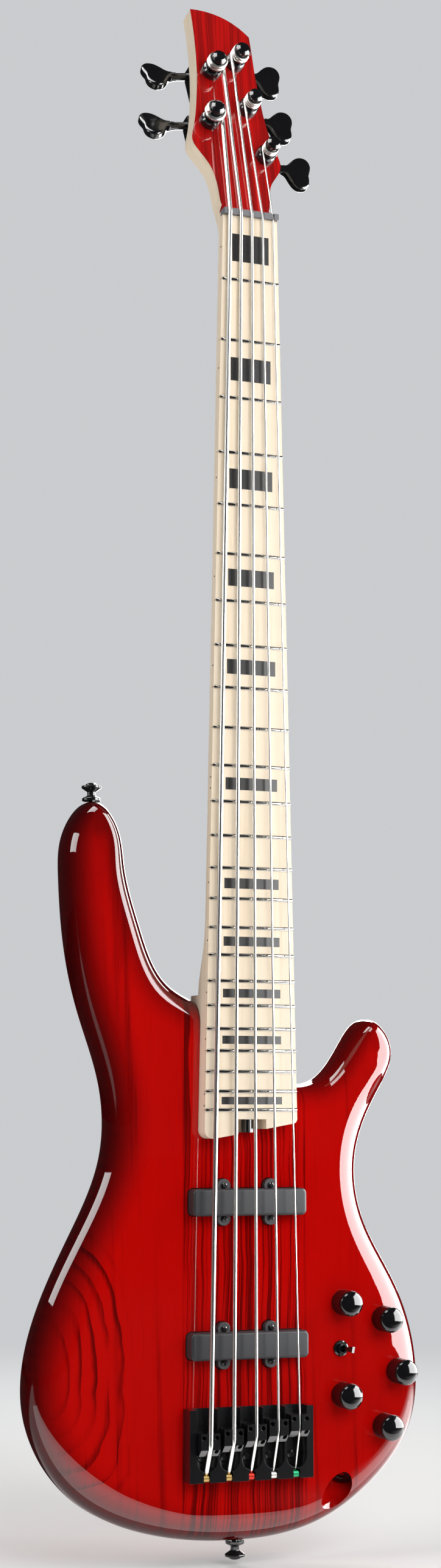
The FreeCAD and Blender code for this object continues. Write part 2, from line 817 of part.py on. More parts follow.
def make_neck():
    shaft = Part.makeLoft([neck_section(up) for up in neck_stations()], True, True)
    blank = feature("neck_blank", shaft.fuse([heel_block(), head_slab(size("head_thickness"))]))
    tools = [truss_notch("neck_notch")]
    over_face = bind(doc.addObject("Part::Box", "over_face"), Length="2 * nut_width", Width="head_face",
                     Height="2 * nut_width")
    step_back = size("scale_length") + size("nut_length") - head_start + size("fit_gap")
    over_face.Placement = head_frame.multiply(Placement(
        Vector(-size("nut_width"), -size("head_face"), step_back), Rotation()))
    tools.append(over_face)
    channel = "scale_length - truss_margin - notch_end + overcut"
    tools.append(rod("truss_channel", "truss_radius + truss_gap", channel,
                     place(0, neck_top - size("truss_drop"), size("notch_end") - overcut)))
    tools.append(block("truss_channel_top", "2 * (truss_radius + truss_gap)", "truss_drop", channel,
                       -size("truss_radius") - size("truss_gap"), neck_top - size("truss_drop"),
                       size("notch_end") - overcut))
    for number, (across, up) in enumerate(NECK_BOLTS):
        tools.append(rod("neck_pilot_%d" % number, "bolt_radius + running_gap",
                         "bolt_length + ferrule_depth", place(across, size("ferrule_wall"), up, FRONT)))
    for number, frame in enumerate(tuner_frames()):
        mouth = Placement(Vector(0, -overcut, 0), Rotation(UP, BACK))
        tools.append(rod("bushing_hole_%d" % number, "sleeve_radius + running_gap",
                         "head_thickness + 2 * overcut", frame.multiply(mouth)))
        behind = Placement(Vector(0, size("head_thickness") + overcut, -size("tuner_screw_drop")),
                           Rotation(UP, FRONT))
        tools.append(rod("tuner_pilot_%d" % number, "tuner_screw_radius + running_gap",
                         "tuner_screw_length", frame.multiply(behind)))
    piece(cut("neck_cut", blank, tools), "neck")


def truss_notch(name):
    """The opening at the end of the neck through which the truss rod nut is reached."""
    return block(name, "notch_width", "notch_depth + board_thickness",
                 "notch_end - board_end_bass + notch_width", -size("notch_width") / 2,
                 neck_top - size("notch_depth"), size("board_end_bass") - size("notch_width"))


# The fingerboard, its frets and its marks

def board_cylinder(name):
    """The cylinder that gives the fingerboard its curved face."""
    return rod(name, "board_radius", "scale_length",
               place(0, size("board_crown") - size("board_radius"),
                     size("board_end_bass") - size("notch_width")))


def inlay_box(name, fret):
    gap = fret_up(fret - 1) - fret_up(fret)
    middle = (fret_up(fret - 1) + fret_up(fret)) / 2
    length = size("inlay_least") + size("inlay_growth") * gap ** 2
    wide = 2 * half_width(middle) * size("inlay_share")
    thing = doc.addObject("Part::Box", name)
    thing.Length = wide
    thing.Height = length
    bind(thing, Width="2 * inlay_depth")
    height = size("board_crown") + size("inlay_depth")
    thing.Placement = Placement(spot(-wide / 2, height, middle - length / 2), Rotation())
    return thing


def dot_places():
    """Side dots between the frets on the bass edge, two of them at the octaves."""
    places = []
    for fret in INLAY_FRETS:
        middle = (fret_up(fret - 1) + fret_up(fret)) / 2
        apart = size("dot_pair_pitch") / 2 if fret in PAIRED_DOT_FRETS else 0
        for up in sorted({middle - apart, middle + apart}):
            places.append(place(-half_width(up), size("board_crown") - size("dot_drop"), up, Vector(1, 0, 0)))
    return places


def make_fingerboard():
    plank = neck_plan("board_plank", size("scale_length"), 0, "board_thickness", neck_top)
    blank = doc.addObject("Part::Common", "board_blank")
    blank.Base = plank
    blank.Tool = board_cylinder("board_curve")
    tools = [truss_notch("board_notch")]
    for fret in range(1, int(size("fret_count")) + 1):
        tools.append(block("fret_slot_%d" % fret, "2 * last_fret_width", "slot_depth + overcut", "tang_width",
                           -size("last_fret_width"), size("board_crown") - size("slot_depth"),
                           fret_up(fret) - size("tang_width") / 2))
    for fret in INLAY_FRETS:
        tools.append(inlay_box("inlay_seat_%d" % fret, fret))
    for number, placement in enumerate(dot_places()):
        tools.append(rod("dot_hole_%d" % number, "dot_radius", "dot_length", placement))
    piece(cut("board_cut", blank, tools), "fingerboard")


def make_inlays():
    curve = board_cylinder("inlay_curve")
    boxes = compound("inlay_boxes", [inlay_box("inlay_%d" % fret, fret) for fret in INLAY_FRETS])
    inlays = doc.addObject("Part::Common", "inlays")
    inlays.Base = boxes
    inlays.Tool = curve
    piece(inlays, "block_inlays")


def make_dots():
    dot = rod("side_dot", "dot_radius", "dot_length", Placement())
    group("side_dots", dot, dot_places())


def fret_shape(up):
    """A crown and tang turned about the fingerboard's axis, a little short of its edges."""
    crown, low = size("board_crown"), size("board_crown") - size("tang_depth")
    wide, thin = size("fret_width") / 2, size("tang_width") / 2
    rim = [spot(0, crown, up + wide), spot(0, crown, up + thin), spot(0, low, up + thin),
           spot(0, low, up - thin), spot(0, crown, up - thin), spot(0, crown, up - wide)]
    edges = [Part.makeLine(start, end) for start, end in zip(rim, rim[1:])]
    edges.append(Part.Arc(rim[-1], spot(0, crown + size("fret_height"), up), rim[0]).toShape())
    face = Part.Face(Part.Wire(edges))
    axis = spot(0, crown - size("board_radius"), up)
    turn = math.degrees((half_width(up) - size("fret_inset")) / size("board_radius"))
    face.rotate(axis, UP, -turn)
    return face.revolve(axis, UP, 2 * turn)


def make_frets():
    frets = [fret_shape(fret_up(number)) for number in range(1, int(size("fret_count")) + 1)]
    piece(feature("fret_set", Part.makeCompound(frets)), "frets")


def make_nut():
    """A block across the end of the fingerboard with a round slot for each string."""
    blank = block("nut_block", "nut_width", "board_thickness + nut_action + nut_crown", "nut_length",
                  -size("nut_width") / 2, neck_top, size("scale_length"))
    slots = []
    for number in range(5):
        across = string_across(number, size("scale_length"))
        radius = "string_%d_diameter / 2 + string_clearance" % (number + 1)
        height = string_height(number, size("scale_length"))
        slots.append(rod("nut_slot_%d" % number, radius, "3 * nut_length",
                         place(across, height, size("scale_length") - size("nut_length"))))
        wide = "2 * (%s)" % radius
        slots.append(block("nut_mouth_%d" % number, wide, "nut_crown + nut_action + %s" % radius,
                           "3 * nut_length", across - value(wide) / 2, height,
                           size("scale_length") - size("nut_length")))
        dip = rod("nut_dip_%d" % number, radius, "3 * nut_length",
                  place(across, height, size("scale_length")))
        dip.Placement.Rotation = Rotation(Vector(1, 0, 0), -size("head_tilt"))
        slots.append(dip)
    piece(cut("nut_cut", blank, slots), "nut")


def make_truss():
    low = size("notch_end") - size("truss_nut_length") / 2 + size("truss_end_gap")
    length = "scale_length - truss_margin - notch_end + truss_nut_length / 2 - 2 * truss_end_gap"
    piece(rod("truss_bar", "truss_radius", length, place(0, neck_top - size("truss_drop"), low)), "truss_rod")
    half = "truss_nut_length / 2"
    nut = turned("truss_barrel", [
        ("truss_socket_radius", "0"), ("truss_nut_radius", "0"), ("truss_nut_radius", "truss_nut_length"),
        ("truss_radius + truss_gap", "truss_nut_length"), ("truss_radius + truss_gap", half),
        ("truss_socket_radius", half)],
        place(0, neck_top - size("truss_drop"),
              size("notch_end") - size("truss_nut_length") - size("truss_gap")))
    piece(nut, "truss_nut")


def make_neck_bolts():
    bolt = screw("neck_bolt", "bolt_head_radius", "bolt_head", "bolt_radius", "bolt_length - ferrule_wall")
    ferrule = turned("ferrule", [
        ("bolt_radius + fit_gap", "0"), ("ferrule_radius", "0"), ("ferrule_radius", "ferrule_depth"),
        ("bolt_head_radius + fit_gap", "ferrule_depth"), ("bolt_head_radius + fit_gap", "ferrule_wall"),
        ("bolt_radius + fit_gap", "ferrule_wall")])
    seat = size("ferrule_depth") - size("ferrule_wall")
    group("neck_bolts", bolt, [place(across, seat, up, BACK) for across, up in NECK_BOLTS])
    group("neck_bolt_ferrules", ferrule,
          [place(across, size("ferrule_depth"), up, BACK) for across, up in NECK_BOLTS])


# Strings

def string_across(number, up):
    """Place of a string across the instrument, from its spread at the bridge and the nut."""
    share = number / 4 - 0.5
    narrowing = (size("bridge_spread") - size("nut_spread")) / size("scale_length")
    return share * (size("bridge_spread") - narrowing * up)


def string_radius(number):
    return size("string_%d_diameter" % (number + 1)) / 2


def string_height(number, up):
    """Height of a string's middle between its saddle and the nut."""
    fall = (size("bridge_action") - size("nut_action")) / size("scale_length")
    action = size("bridge_action") - fall * up
    return size("board_crown") + action - arch(string_across(number, up)) + string_radius(number)


def saddle_up(number):
    """Where the crest of a saddle stands."""
    return -size("saddle_first") + size("saddle_step") * number


def arc_middle(start, corner, end):
    """Middle of the arc that leaves start and reaches end towards the same corner."""
    chord = (start + end) * 0.5
    half = (end - start).Length / 2
    turn = math.acos(min(1, half / (corner - start).Length))
    return chord + (corner - chord) * (math.tan(turn / 2) / math.tan(turn))


def biarc(start, leave, end, arrive):
    """Two arcs that join two points and meet tangentially."""
    chord = end - start
    both = chord.dot(leave + arrive)
    bend = 2 * (1 - leave.dot(arrive))
    reach = (math.sqrt(both ** 2 + bend * chord.dot(chord)) - both) / bend
    first, second = start + leave * reach, end - arrive * reach
    middle = (first + second) * 0.5
    return [Part.Arc(start, arc_middle(start, first, middle), middle).toShape(),
            Part.Arc(middle, arc_middle(middle, second, end), end).toShape()]


def rounded_route(points, radii):
    """Straight runs through points with a tangent arc at each inner point."""
    edges = []
    last = points[0]
    for before, here, after, radius in zip(points, points[1:], points[2:], radii):
        back, ahead = (before - here).normalize(), (after - here).normalize()
        half = back.getAngle(ahead) / 2
        reach = radius / math.tan(half)
        start, end = here + back * reach, here + ahead * reach
        edges.append(Part.makeLine(last, start))
        edges.append(Part.Arc(start, arc_middle(start, here, end), end).toShape())
        last = end
    edges.append(Part.makeLine(last, points[-1]))
    return edges


def tube(edges, radius, start, direction):
    """A round tube along joined edges, with its volume compared with its section times its length."""
    wire = Part.Wire(edges)
    ring = Part.Wire(Part.makeCircle(radius, start, direction))
    shape = wire.makePipeShell([ring], True, False)
    ideal = math.pi * radius ** 2 * wire.Length
    if abs(shape.Volume / ideal - 1) > CLOSE:
        raise ValueError("tube volume %.1f, expected %.1f" % (shape.Volume, ideal))
    return shape


def head_point(across, along, rise):
    """A point given along the headstock face and above it."""
    return head_frame.multVec(Vector(across, -rise, along))


def winding(number, nut_point):
    """Where a string meets its post, and the waypoints and directions of its turns up the post."""
    across, along, side, turns = TUNERS[number][:4]
    radius = size("post_radius") + size("string_clearance") + string_radius(number)
    rise = size("post_floor") + size("post_flange") + size("string_clearance") + string_radius(number)
    pitch = 2 * string_radius(number) + size("wrap_gap")
    local = head_frame.inverse().multVec(nut_point)
    to_post = Vector(across - local.x, along - local.z, 0)
    swing = side * math.asin(radius / to_post.Length)
    heading = math.atan2(to_post.y, to_post.x) + swing
    start = heading + side * math.pi / 2
    waypoints = []
    for quarter in range(int(round(turns * 4)) + 1):
        turn = start - side * quarter * math.pi / 2
        climb = rise + pitch * quarter / 4
        point = head_point(across + radius * math.cos(turn), along + radius * math.sin(turn), climb)
        slope = pitch / (2 * math.pi * radius)
        run = head_frame.Rotation.multVec(
            Vector(side * math.sin(turn), -slope, -side * math.cos(turn))).normalize()
        waypoints.append((point, run))
    return waypoints


def least_gap(edges, radius):
    """Smallest distance between turns of one tube, on points a turn's half apart or more."""
    points, reached = [], []
    travelled = 0
    for edge in edges:
        steps = max(2, int(edge.Length / radius))
        for point in edge.discretize(steps)[:-1]:
            if points:
                travelled += (point - points[-1]).Length
            points.append(point)
            reached.append(travelled)
    apart = math.pi * (size("post_radius") + radius)
    return min((one - other).Length for number, one in enumerate(points)
               for other, far in zip(points[number + 1:], reached[number + 1:])
               if far - reached[number] > apart) - 2 * radius


def make_string(number):
    """A taut wire from its ball end over saddle and nut to the turns on its post."""
    radius = string_radius(number)
    crest = spot(string_across(number, 0), string_height(number, saddle_up(number)), saddle_up(number))
    ball = spot(string_across(number, 0), size("ball_height"), -size("ball_place"))
    pull = (crest - ball).normalize()
    start = ball + pull * (size("ball_radius") + size("running_gap"))
    nut_up = size("scale_length") + size("nut_length") / 2
    nut_point = spot(string_across(number, nut_up), string_height(number, nut_up), nut_up)
    waypoints = winding(number, nut_point)
    meet = waypoints[0][0]
    edges = rounded_route([start, crest, nut_point, meet], [size("string_bend_radius")] * 2)
    waypoints[0] = (meet, (meet - nut_point).normalize())
    turns = []
    for (here, leave), (there, arrive) in zip(waypoints, waypoints[1:]):
        turns += biarc(here, leave, there, arrive)
    last, heading = waypoints[-1]
    turns.append(Part.makeLine(last, last + heading * 2 * radius))
    print("string %d: least gap between its turns %.2f mm" % (number + 1, least_gap(turns, radius)))
    wire = tube(edges + turns, radius, start, pull)
    spool = Part.makeCylinder(size("ball_radius"), size("ball_length"),
                              ball - Vector(size("ball_length") / 2, 0, 0), Vector(1, 0, 0))
    name = "string_%d" % (number + 1)
    piece(feature(name + "_set", Part.makeCompound([wire, spool])), name)


# The bridge

def make_bridge():
    """A block with a well for each saddle, string slots and ball pockets in its rear wall."""
    floor = size("body_thickness") + size("bridge_floor")
    blank = block("bridge_block", "bridge_width", "bridge_height", "bridge_front + bridge_rear",
                  -size("bridge_width") / 2, size("body_thickness"), -size("bridge_rear"))
    tools = []
    for number in range(5):
        across = string_across(number, 0)
        round_up = -size("well_rear") + size("well_width") / 2
        tools.append(block("well_%d" % number, "well_width", "bridge_height", "bridge_front + well_rear",
                           across - size("well_width") / 2, floor, round_up))
        tools.append(rod("well_end_%d" % number, "well_width / 2", "bridge_height",
                         place(across, floor, round_up, FRONT)))
        wide = "string_%d_diameter + slot_room" % (number + 1)
        tools.append(block("string_slot_%d" % number, wide, "bridge_height",
                           "ball_place - well_rear + well_width / 2", across - value(wide) / 2,
                           size("ball_height") - value(wide) / 2, -size("ball_place")))
        pocket = "ball_length + slot_room"
        tools.append(block("ball_pocket_%d" % number, pocket, "bridge_height",
                           "2 * ball_radius + slot_room", across - value(pocket) / 2,
                           size("ball_height") - size("ball_radius") - size("running_gap"),
                           -size("ball_place") - size("ball_radius") - size("slot_room") / 2))
        tools.append(rod("bridge_hole_%d" % number, "grub_radius + running_gap", "bridge_height",
                         place(across, size("body_thickness") - overcut, -size("bridge_screw_place"), FRONT)))
    piece(cut("bridge_cut", blank, tools), "bridge_base")
    fastener = screw("bridge_screw", "2 * grub_radius", "grub_radius", "grub_radius",
                     "bridge_screw_length")
    group("bridge_screws", fastener,
          [place(string_across(number, 0), floor, -size("bridge_screw_place"), FRONT) for number in range(5)])


def make_saddle(number):
    """A block that carries one string in a groove, with two height screws and a lock screw."""
    across, crest = string_across(number, 0), saddle_up(number)
    name = "saddle_%d" % (number + 1)
    floor = size("body_thickness") + size("bridge_floor")
    low = floor + size("saddle_lift")
    under = string_height(number, crest) - string_radius(number) - size("saddle_clearance")
    groove = "string_%d_diameter + slot_room" % (number + 1)
    blank = block(name + "_block", "saddle_width", "saddle_width", "saddle_front + saddle_back",
                  across - size("saddle_width") / 2, low, crest - size("saddle_back"))
    blank.setExpression("Width", None)
    blank.Width = under + size("saddle_cheek") + size("saddle_relief_front") - low
    blank.Placement.Base.y = -(low + float(blank.Width))
    left = across - value(groove) / 2
    tools = [
        block(name + "_groove", groove, "saddle_width", "saddle_front + saddle_back", left, under,
              crest - size("saddle_back")),
        block(name + "_front_relief", groove, "saddle_width", "saddle_front", left,
              under - size("saddle_relief_front"), crest + size("saddle_crest")),
        block(name + "_rear_relief", groove, "saddle_width", "saddle_back", left,
              under - size("saddle_relief_back"), crest - size("saddle_back") - size("running_gap")),
    ]
    bevel = block(name + "_bevel", "2 * saddle_width", "saddle_bevel * 2", "saddle_bevel * 2",
                  across - size("saddle_width"), 0, 0)
    corner = spot(across - size("saddle_width"), under + size("saddle_cheek") + size("saddle_relief_front"),
                  crest - size("saddle_back") + size("saddle_bevel"))
    bevel.Placement = Placement(corner, Rotation(Vector(1, 0, 0), -135))
    tools.append(bevel)
    screws = [(-size("grub_side"), size("grub_front")), (size("grub_side"), size("grub_front")),
              (size("grub_side"), -size("lock_back"))]
    for index, (side, along) in enumerate(screws):
        tools.append(rod("%s_hole_%d" % (name, index), "grub_radius + grub_gap", "2 * saddle_width",
                         place(across + side, floor - overcut, crest + along, FRONT)))
    carved = cut(name + "_cut", blank, tools)
    solids = [carved]
    for index, (side, along) in enumerate(screws):
        stud = turned("%s_screw_%d" % (name, index), [
            ("0", "0"), ("grub_radius", "0"), ("grub_radius", "saddle_width"),
            ("0.5 * grub_radius", "saddle_width"), ("0.5 * grub_radius", "saddle_width - grub_radius"),
            ("0", "saddle_width - grub_radius")],
            place(across + side, floor + size("grub_gap"), crest + along, FRONT))
        solids.append(stud)
    piece(compound(name + "_set", solids), name)


# Pickups

def make_pickup(name, length, up):
    """A hollow bar cover with four ears, coils and magnets inside and screws through the ears."""
    base = size("body_thickness") - size("pickup_body_depth")
    half, wide = length + " / 2", "pickup_width / 2"
    corners = [("-" + half, "-" + wide), ("-" + half, wide), (half, wide), (half, "-" + wide)]
    shell = prism(name + "_shell", corners, "pickup_body_depth + pickup_height", place(0, base, up))
    rounded(shell, "pickup_corner", along_depth)
    top = -size("pickup_body_depth") - size("pickup_height")
    rounded(shell, "pickup_edge", lambda edge: abs(edge.BoundBox.YMax - top) < CLOSE)
    ears = [rod("%s_ear_%d" % (name, number), "ear_radius", "ear_height",
                place(across, size("body_thickness"), up + offset, FRONT))
            for number, (across, offset) in enumerate(ear_places())]
    hollow = block(name + "_hollow", length + " - 2 * pickup_wall",
                   "pickup_body_depth + pickup_height - pickup_wall", "pickup_width - 2 * pickup_wall",
                   -value(length) / 2 + size("pickup_wall"), base,
                   up - size("pickup_width") / 2 + size("pickup_wall"))
    holes = [rod("%s_hole_%d" % (name, number), "pickup_screw_radius + running_gap", "2 * ear_height",
                 place(across, size("body_thickness") - overcut, up + offset, FRONT))
             for number, (across, offset) in enumerate(ear_places())]
    piece(cut(name + "_cut", fuse(name + "_whole", [shell] + ears), [hollow] + holes), name + "_cover")
    coils = []
    deep = "pickup_body_depth + pickup_height - pickup_wall - coil_gap"
    wind_long = length + " - 2 * pickup_wall - 2 * coil_gap"
    magnet_long = length + " - 2 * pickup_wall - 2 * coil_width"
    magnet_base = base + size("coil_floor")
    for label, side in (("lower", -1), ("upper", 1)):
        inset = size("pickup_wall") + size("coil_gap") + size("coil_width") / 2
        coil_up = up + side * (size("pickup_width") / 2 - inset)
        magnet_up = coil_up - size("magnet_width") / 2
        wind = block("%s_%s_wind" % (name, label), wind_long, deep, "coil_width", -value(wind_long) / 2, base,
                     coil_up - size("coil_width") / 2)
        slot = block("%s_%s_slot" % (name, label), magnet_long, "2 * pickup_height", "magnet_width",
                     -value(magnet_long) / 2, magnet_base, magnet_up)
        magnet = block("%s_%s_magnet" % (name, label), magnet_long, deep + " - coil_floor", "magnet_width",
                       -value(magnet_long) / 2, magnet_base, magnet_up)
        coils += [cut("%s_%s_coil" % (name, label), wind, [slot]), magnet]
    piece(compound(name + "_core", coils), name + "_coils")
    fastener = screw(name + "_screw", "pickup_screw_head", "pickup_screw_head_height", "pickup_screw_radius",
                     "pickup_screw_length")
    seat = size("body_thickness") + size("ear_height")
    group(name + "_screws", fastener,
          [place(across, seat, up + offset, FRONT) for across, offset in ear_places()])


def make_foams():
    """Pads on the floor of the pickup routes."""
    floor = size("body_thickness") - size("pickup_pocket")
    long = "neck_pickup_length - 4 * pickup_corner"
    pads = [block("foam_%d" % number, long, "foam_height", "coil_width * 2", -value(long) / 2, floor,
                  up - size("coil_width"))
            for number, up in enumerate((size("neck_pickup_place"), size("bridge_pickup_place")))]
    piece(compound("foam_set", pads), "pickup_foams")


# Tuners

def tuner_frames():
    """Each tuner's own frame: on the headstock face, turned so that its key leans towards the body."""
    frames = []
    for across, along, side, turns, button in TUNERS:
        lean = Rotation(FRONT, -side * size("key_sweep"))
        frames.append(head_frame.multiply(Placement(Vector(across, 0, along), lean)))
    return frames


gear_radius = size("gear_module") * size("gear_teeth") / 2
gear_level = size("head_thickness") + size("gear_drop")
worm_offset = gear_radius + size("worm_pitch_radius")


def gear_shape():
    """Straight teeth around the post, with a gap facing the worm."""
    count = int(size("gear_teeth"))
    tip, root = gear_radius + size("tooth_height"), gear_radius - size("tooth_root")
    thick = size("tooth_width")
    points = []
    for tooth in range(count):
        middle = math.pi / 2 + 2 * math.pi * (tooth + 0.5) / count
        for radius, offset in ((root, -FLANK_ROOT * thick), (tip, -FLANK_TIP * thick),
                               (tip, FLANK_TIP * thick), (root, FLANK_ROOT * thick)):
            turn = middle + offset / gear_radius
            points.append(Vector(radius * math.cos(turn), 0, radius * math.sin(turn)))
    rim = Part.Face(Part.makePolygon(points + points[:1]))
    return rim.extrude(Vector(0, size("gear_width"), 0)).translated(
        Vector(0, gear_level - size("gear_width") / 2, 0))


def worm_shape():
    """A right-handed thread on its core, along local Z, with a crest at the middle towards local X."""
    pitch = math.pi * size("gear_module")
    turns = int(size("worm_length") / pitch / 2)
    root = size("worm_pitch_radius") - size("tooth_root")
    tip = size("worm_pitch_radius") + size("tooth_height")
    thick = size("thread_width")
    helix = Part.makeHelix(pitch, 2 * turns * pitch, size("worm_pitch_radius"))
    rim = [Vector(root - THREAD_BITE, 0, -FLANK_ROOT * thick), Vector(tip, 0, -FLANK_TIP * thick),
           Vector(tip, 0, FLANK_TIP * thick), Vector(root - THREAD_BITE, 0, FLANK_ROOT * thick)]
    section = Part.makePolygon(rim + rim[:1])
    thread = Part.Wire(helix).makePipeShell([section], True, True).translated(Vector(0, 0, -turns * pitch))
    end = size("worm_length") / 2 + overcut
    core = Part.makeCylinder(root, 2 * end, Vector(0, 0, -end))
    return core.fuse(thread)


def button_shape(side):
    """A fan-shaped button with a narrow neck, two lobes and rounded rims."""
    reach, length, wide = size("key_reach"), size("button_length"), size("button_width") / 2
    upper = [(0, size("button_neck") / 2)]
    upper += [(along * length, across * wide) for along, across in BUTTON_HALF]
    lower = [(along, -across) for along, across in reversed(upper[:-1])]
    front = -size("button_thickness") / 2
    rim = spline([Vector(side * (reach + along), front, across) for along, across in upper + lower])
    foot = Part.makeLine(rim.Vertexes[-1].Point, rim.Vertexes[0].Point)
    fan = Part.Face(Part.Wire([rim, foot])).extrude(Vector(0, size("button_thickness"), 0))
    rims = [edge for edge in fan.Edges if edge.Curve.TypeId == "Part::GeomBSplineCurve"]
    return fan.makeFillet(size("button_edge"), rims)


def key_shape(side, turn):
    """Worm, shaft, collar and button along local X, towards one side."""
    reach = size("key_reach")
    shaft = Part.makeCylinder(size("key_shaft_radius"), reach, Vector(0, 0, 0), Vector(side, 0, 0))
    collar = Part.makeCylinder(size("collar_radius"), size("collar_length"),
                               Vector(side * (reach - size("collar_length")), 0, 0), Vector(side, 0, 0))
    button = button_shape(side)
    button.rotate(Vector(), Vector(1, 0, 0), turn)
    worm = worm_shape()
    worm.Placement = Placement(Vector(), Rotation(Vector(0, 1, 0), 90))
    return worm.fuse([shaft, collar, button])


def housing_shape(side):
    """A cup with a screw plate behind the headstock, and a sleeve for the key's shaft on one side."""
    back = size("head_thickness")
    wide, wall = size("housing_width") / 2, size("housing_wall")
    cup = Part.makeBox(2 * wide, size("housing_depth"), size("housing_low") + size("housing_high"),
                       Vector(-wide, back, -size("housing_low")))
    plate = Part.makeBox(2 * wide, size("plate_thickness"), size("plate_length") + size("housing_high"),
                         Vector(-wide, back, -size("plate_length")))
    sleeve_long = size("key_reach") - size("collar_length") - size("fit_gap") - wide + wall
    sleeve = Part.makeCylinder(size("key_sleeve_radius"), sleeve_long,
                               Vector(side * (wide - wall), gear_level, worm_offset), Vector(side, 0, 0))
    room = Part.makeBox(2 * (wide - wall), size("housing_depth") - wall,
                        size("housing_low") + size("housing_high") - 2 * wall,
                        Vector(wall - wide, back, wall - size("housing_low")))
    hole_long = 2 * size("key_reach")
    shaft_hole = Part.makeCylinder(size("key_shaft_radius") + size("running_gap"), hole_long,
                                   Vector(-hole_long / 2, gear_level, worm_offset), Vector(1, 0, 0))
    screw_hole = Part.makeCylinder(size("tuner_screw_radius") + size("running_gap"), back,
                                   Vector(0, back - overcut, -size("tuner_screw_drop")), BACK)
    return cup.fuse([plate, sleeve]).cut([room, shaft_hole, screw_hole])


def make_tuners():
    """Housings, bushings, screws, posts with gears, and keys with worms."""
    frames = tuner_frames()
    housings = []
    for frame, tuner in zip(frames, TUNERS):
        housing = housing_shape(tuner[2])
        housing.Placement = frame
        housings.append(housing)
    piece(feature("housing_set", Part.makeCompound(housings)), "tuner_housings")
    bushing = turned("bushing", [
        ("shaft_radius + running_gap", "-head_thickness"), ("sleeve_radius", "-head_thickness"),
        ("sleeve_radius", "0"), ("bushing_radius", "0"), ("bushing_radius", "0.7 * bushing_height"),
        ("0.86 * bushing_radius", "bushing_height"), ("shaft_radius + running_gap", "bushing_height")])
    upright = Placement(Vector(), Rotation(UP, FRONT))
    group("tuner_bushings", bushing, [frame.multiply(upright) for frame in frames])
    fastener = screw("tuner_screw", "2 * tuner_screw_radius", "tuner_screw_radius", "tuner_screw_radius",
                     "tuner_screw_length")
    seat = Placement(Vector(0, size("head_thickness") + size("plate_thickness"), -size("tuner_screw_drop")),
                     Rotation(UP, BACK))
    group("tuner_screws", fastener, [frame.multiply(seat) for frame in frames])
    foot = "-head_thickness - gear_drop - gear_width"
    post = turned("post", [
        ("0", foot), ("shaft_radius", foot), ("shaft_radius", "post_floor"),
        ("post_flange_radius", "post_floor"), ("post_flange_radius", "post_floor + post_flange"),
        ("post_radius", "post_floor + post_flange"),
        ("post_radius", "post_cap"), ("post_cap_radius", "post_cap"),
        ("post_cap_radius", "post_cap + 0.5 * (post_top - post_cap)"), ("0.6 * post_cap_radius", "post_top"),
        ("0", "post_top")], upright)
    gear = gear_shape()
    for number, (frame, tuner) in enumerate(zip(frames, TUNERS), start=1):
        whole = post.Shape.fuse(gear)
        piece(feature("post_%d" % number, whole, frame), "tuner_post_%d" % number)
        key = key_shape(tuner[2], tuner[4])
        turn = frame.multiply(Placement(Vector(0, gear_level, worm_offset), Rotation()))
        piece(feature("key_%d" % number, key, turn), "tuner_key_%d" % number)


# Controls

def make_controls():
    """Potentiometers with their nuts, knobs on their shafts, and the toggle switch."""
    roof, face = size("cavity_roof"), size("body_thickness")
    pot = turned("pot", [
        ("knob_shaft_radius + running_gap", "-pot_depth + pot_wall"), ("0", "-pot_depth + pot_wall"),
        ("0", "-pot_depth"), ("pot_radius", "-pot_depth"), ("pot_radius", "0"),
        ("bushing_thread_radius", "0"),
        ("bushing_thread_radius", "body_thickness - cavity_roof + bushing_rise"),
        ("knob_shaft_radius + running_gap", "body_thickness - cavity_roof + bushing_rise")])
    group("potentiometers", pot, [place(across, roof, up, FRONT) for across, up in KNOBS])
    nut = turned("panel_nut", [
        ("bushing_thread_radius", "0"), ("panel_nut_radius", "0"),
        ("panel_nut_radius", "0.7 * panel_nut_height"), ("0.85 * panel_nut_radius", "panel_nut_height"),
        ("bushing_thread_radius", "panel_nut_height")])
    toggle_nut = turned("toggle_nut", [
        ("toggle_thread_radius", "0"), ("panel_nut_radius", "0"),
        ("panel_nut_radius", "0.7 * panel_nut_height"), ("0.85 * panel_nut_radius", "panel_nut_height"),
        ("toggle_thread_radius", "panel_nut_height")],
        place(size("toggle_across"), face, size("toggle_up"), FRONT))
    nuts = []
    for across, up in KNOBS:
        ring = nut.Shape.copy()
        ring.Placement = place(across, face, up, FRONT)
        nuts.append(ring)
    piece(feature("nut_set", Part.makeCompound(nuts + [toggle_nut.Shape])), "panel_nuts")
    knob = turned("knob", [
        ("0", "knob_lift + knob_skirt"), ("knob_shaft_radius", "knob_lift + knob_skirt"),
        ("knob_shaft_radius", "knob_lift + knob_recess"), ("knob_recess_radius", "knob_lift + knob_recess"),
        ("knob_recess_radius", "knob_lift"), ("knob_radius", "knob_lift"),
        ("knob_radius", "knob_lift + knob_skirt"),
        ("0.9 * knob_radius", "knob_lift + 0.5 * (knob_skirt + knob_height)"),
        ("knob_dome_radius", "knob_lift + 0.85 * knob_height + 0.15 * knob_skirt"),
        ("0.5 * knob_dome_radius", "knob_lift + knob_height"), ("0", "knob_lift + knob_height")])
    shaft = turned("knob_shaft", [
        ("0", "knob_lift + knob_skirt - knob_shaft_length"),
        ("knob_shaft_radius", "knob_lift + knob_skirt - knob_shaft_length"),
        ("knob_shaft_radius", "knob_lift + knob_skirt"), ("0", "knob_lift + knob_skirt")])
    for number, (across, up) in enumerate(KNOBS, start=1):
        whole = Part.makeCompound([knob.Shape.copy(), shaft.Shape.copy()])
        piece(feature("knob_set_%d" % number, whole, place(across, face, up, FRONT)), "knob_%d" % number)


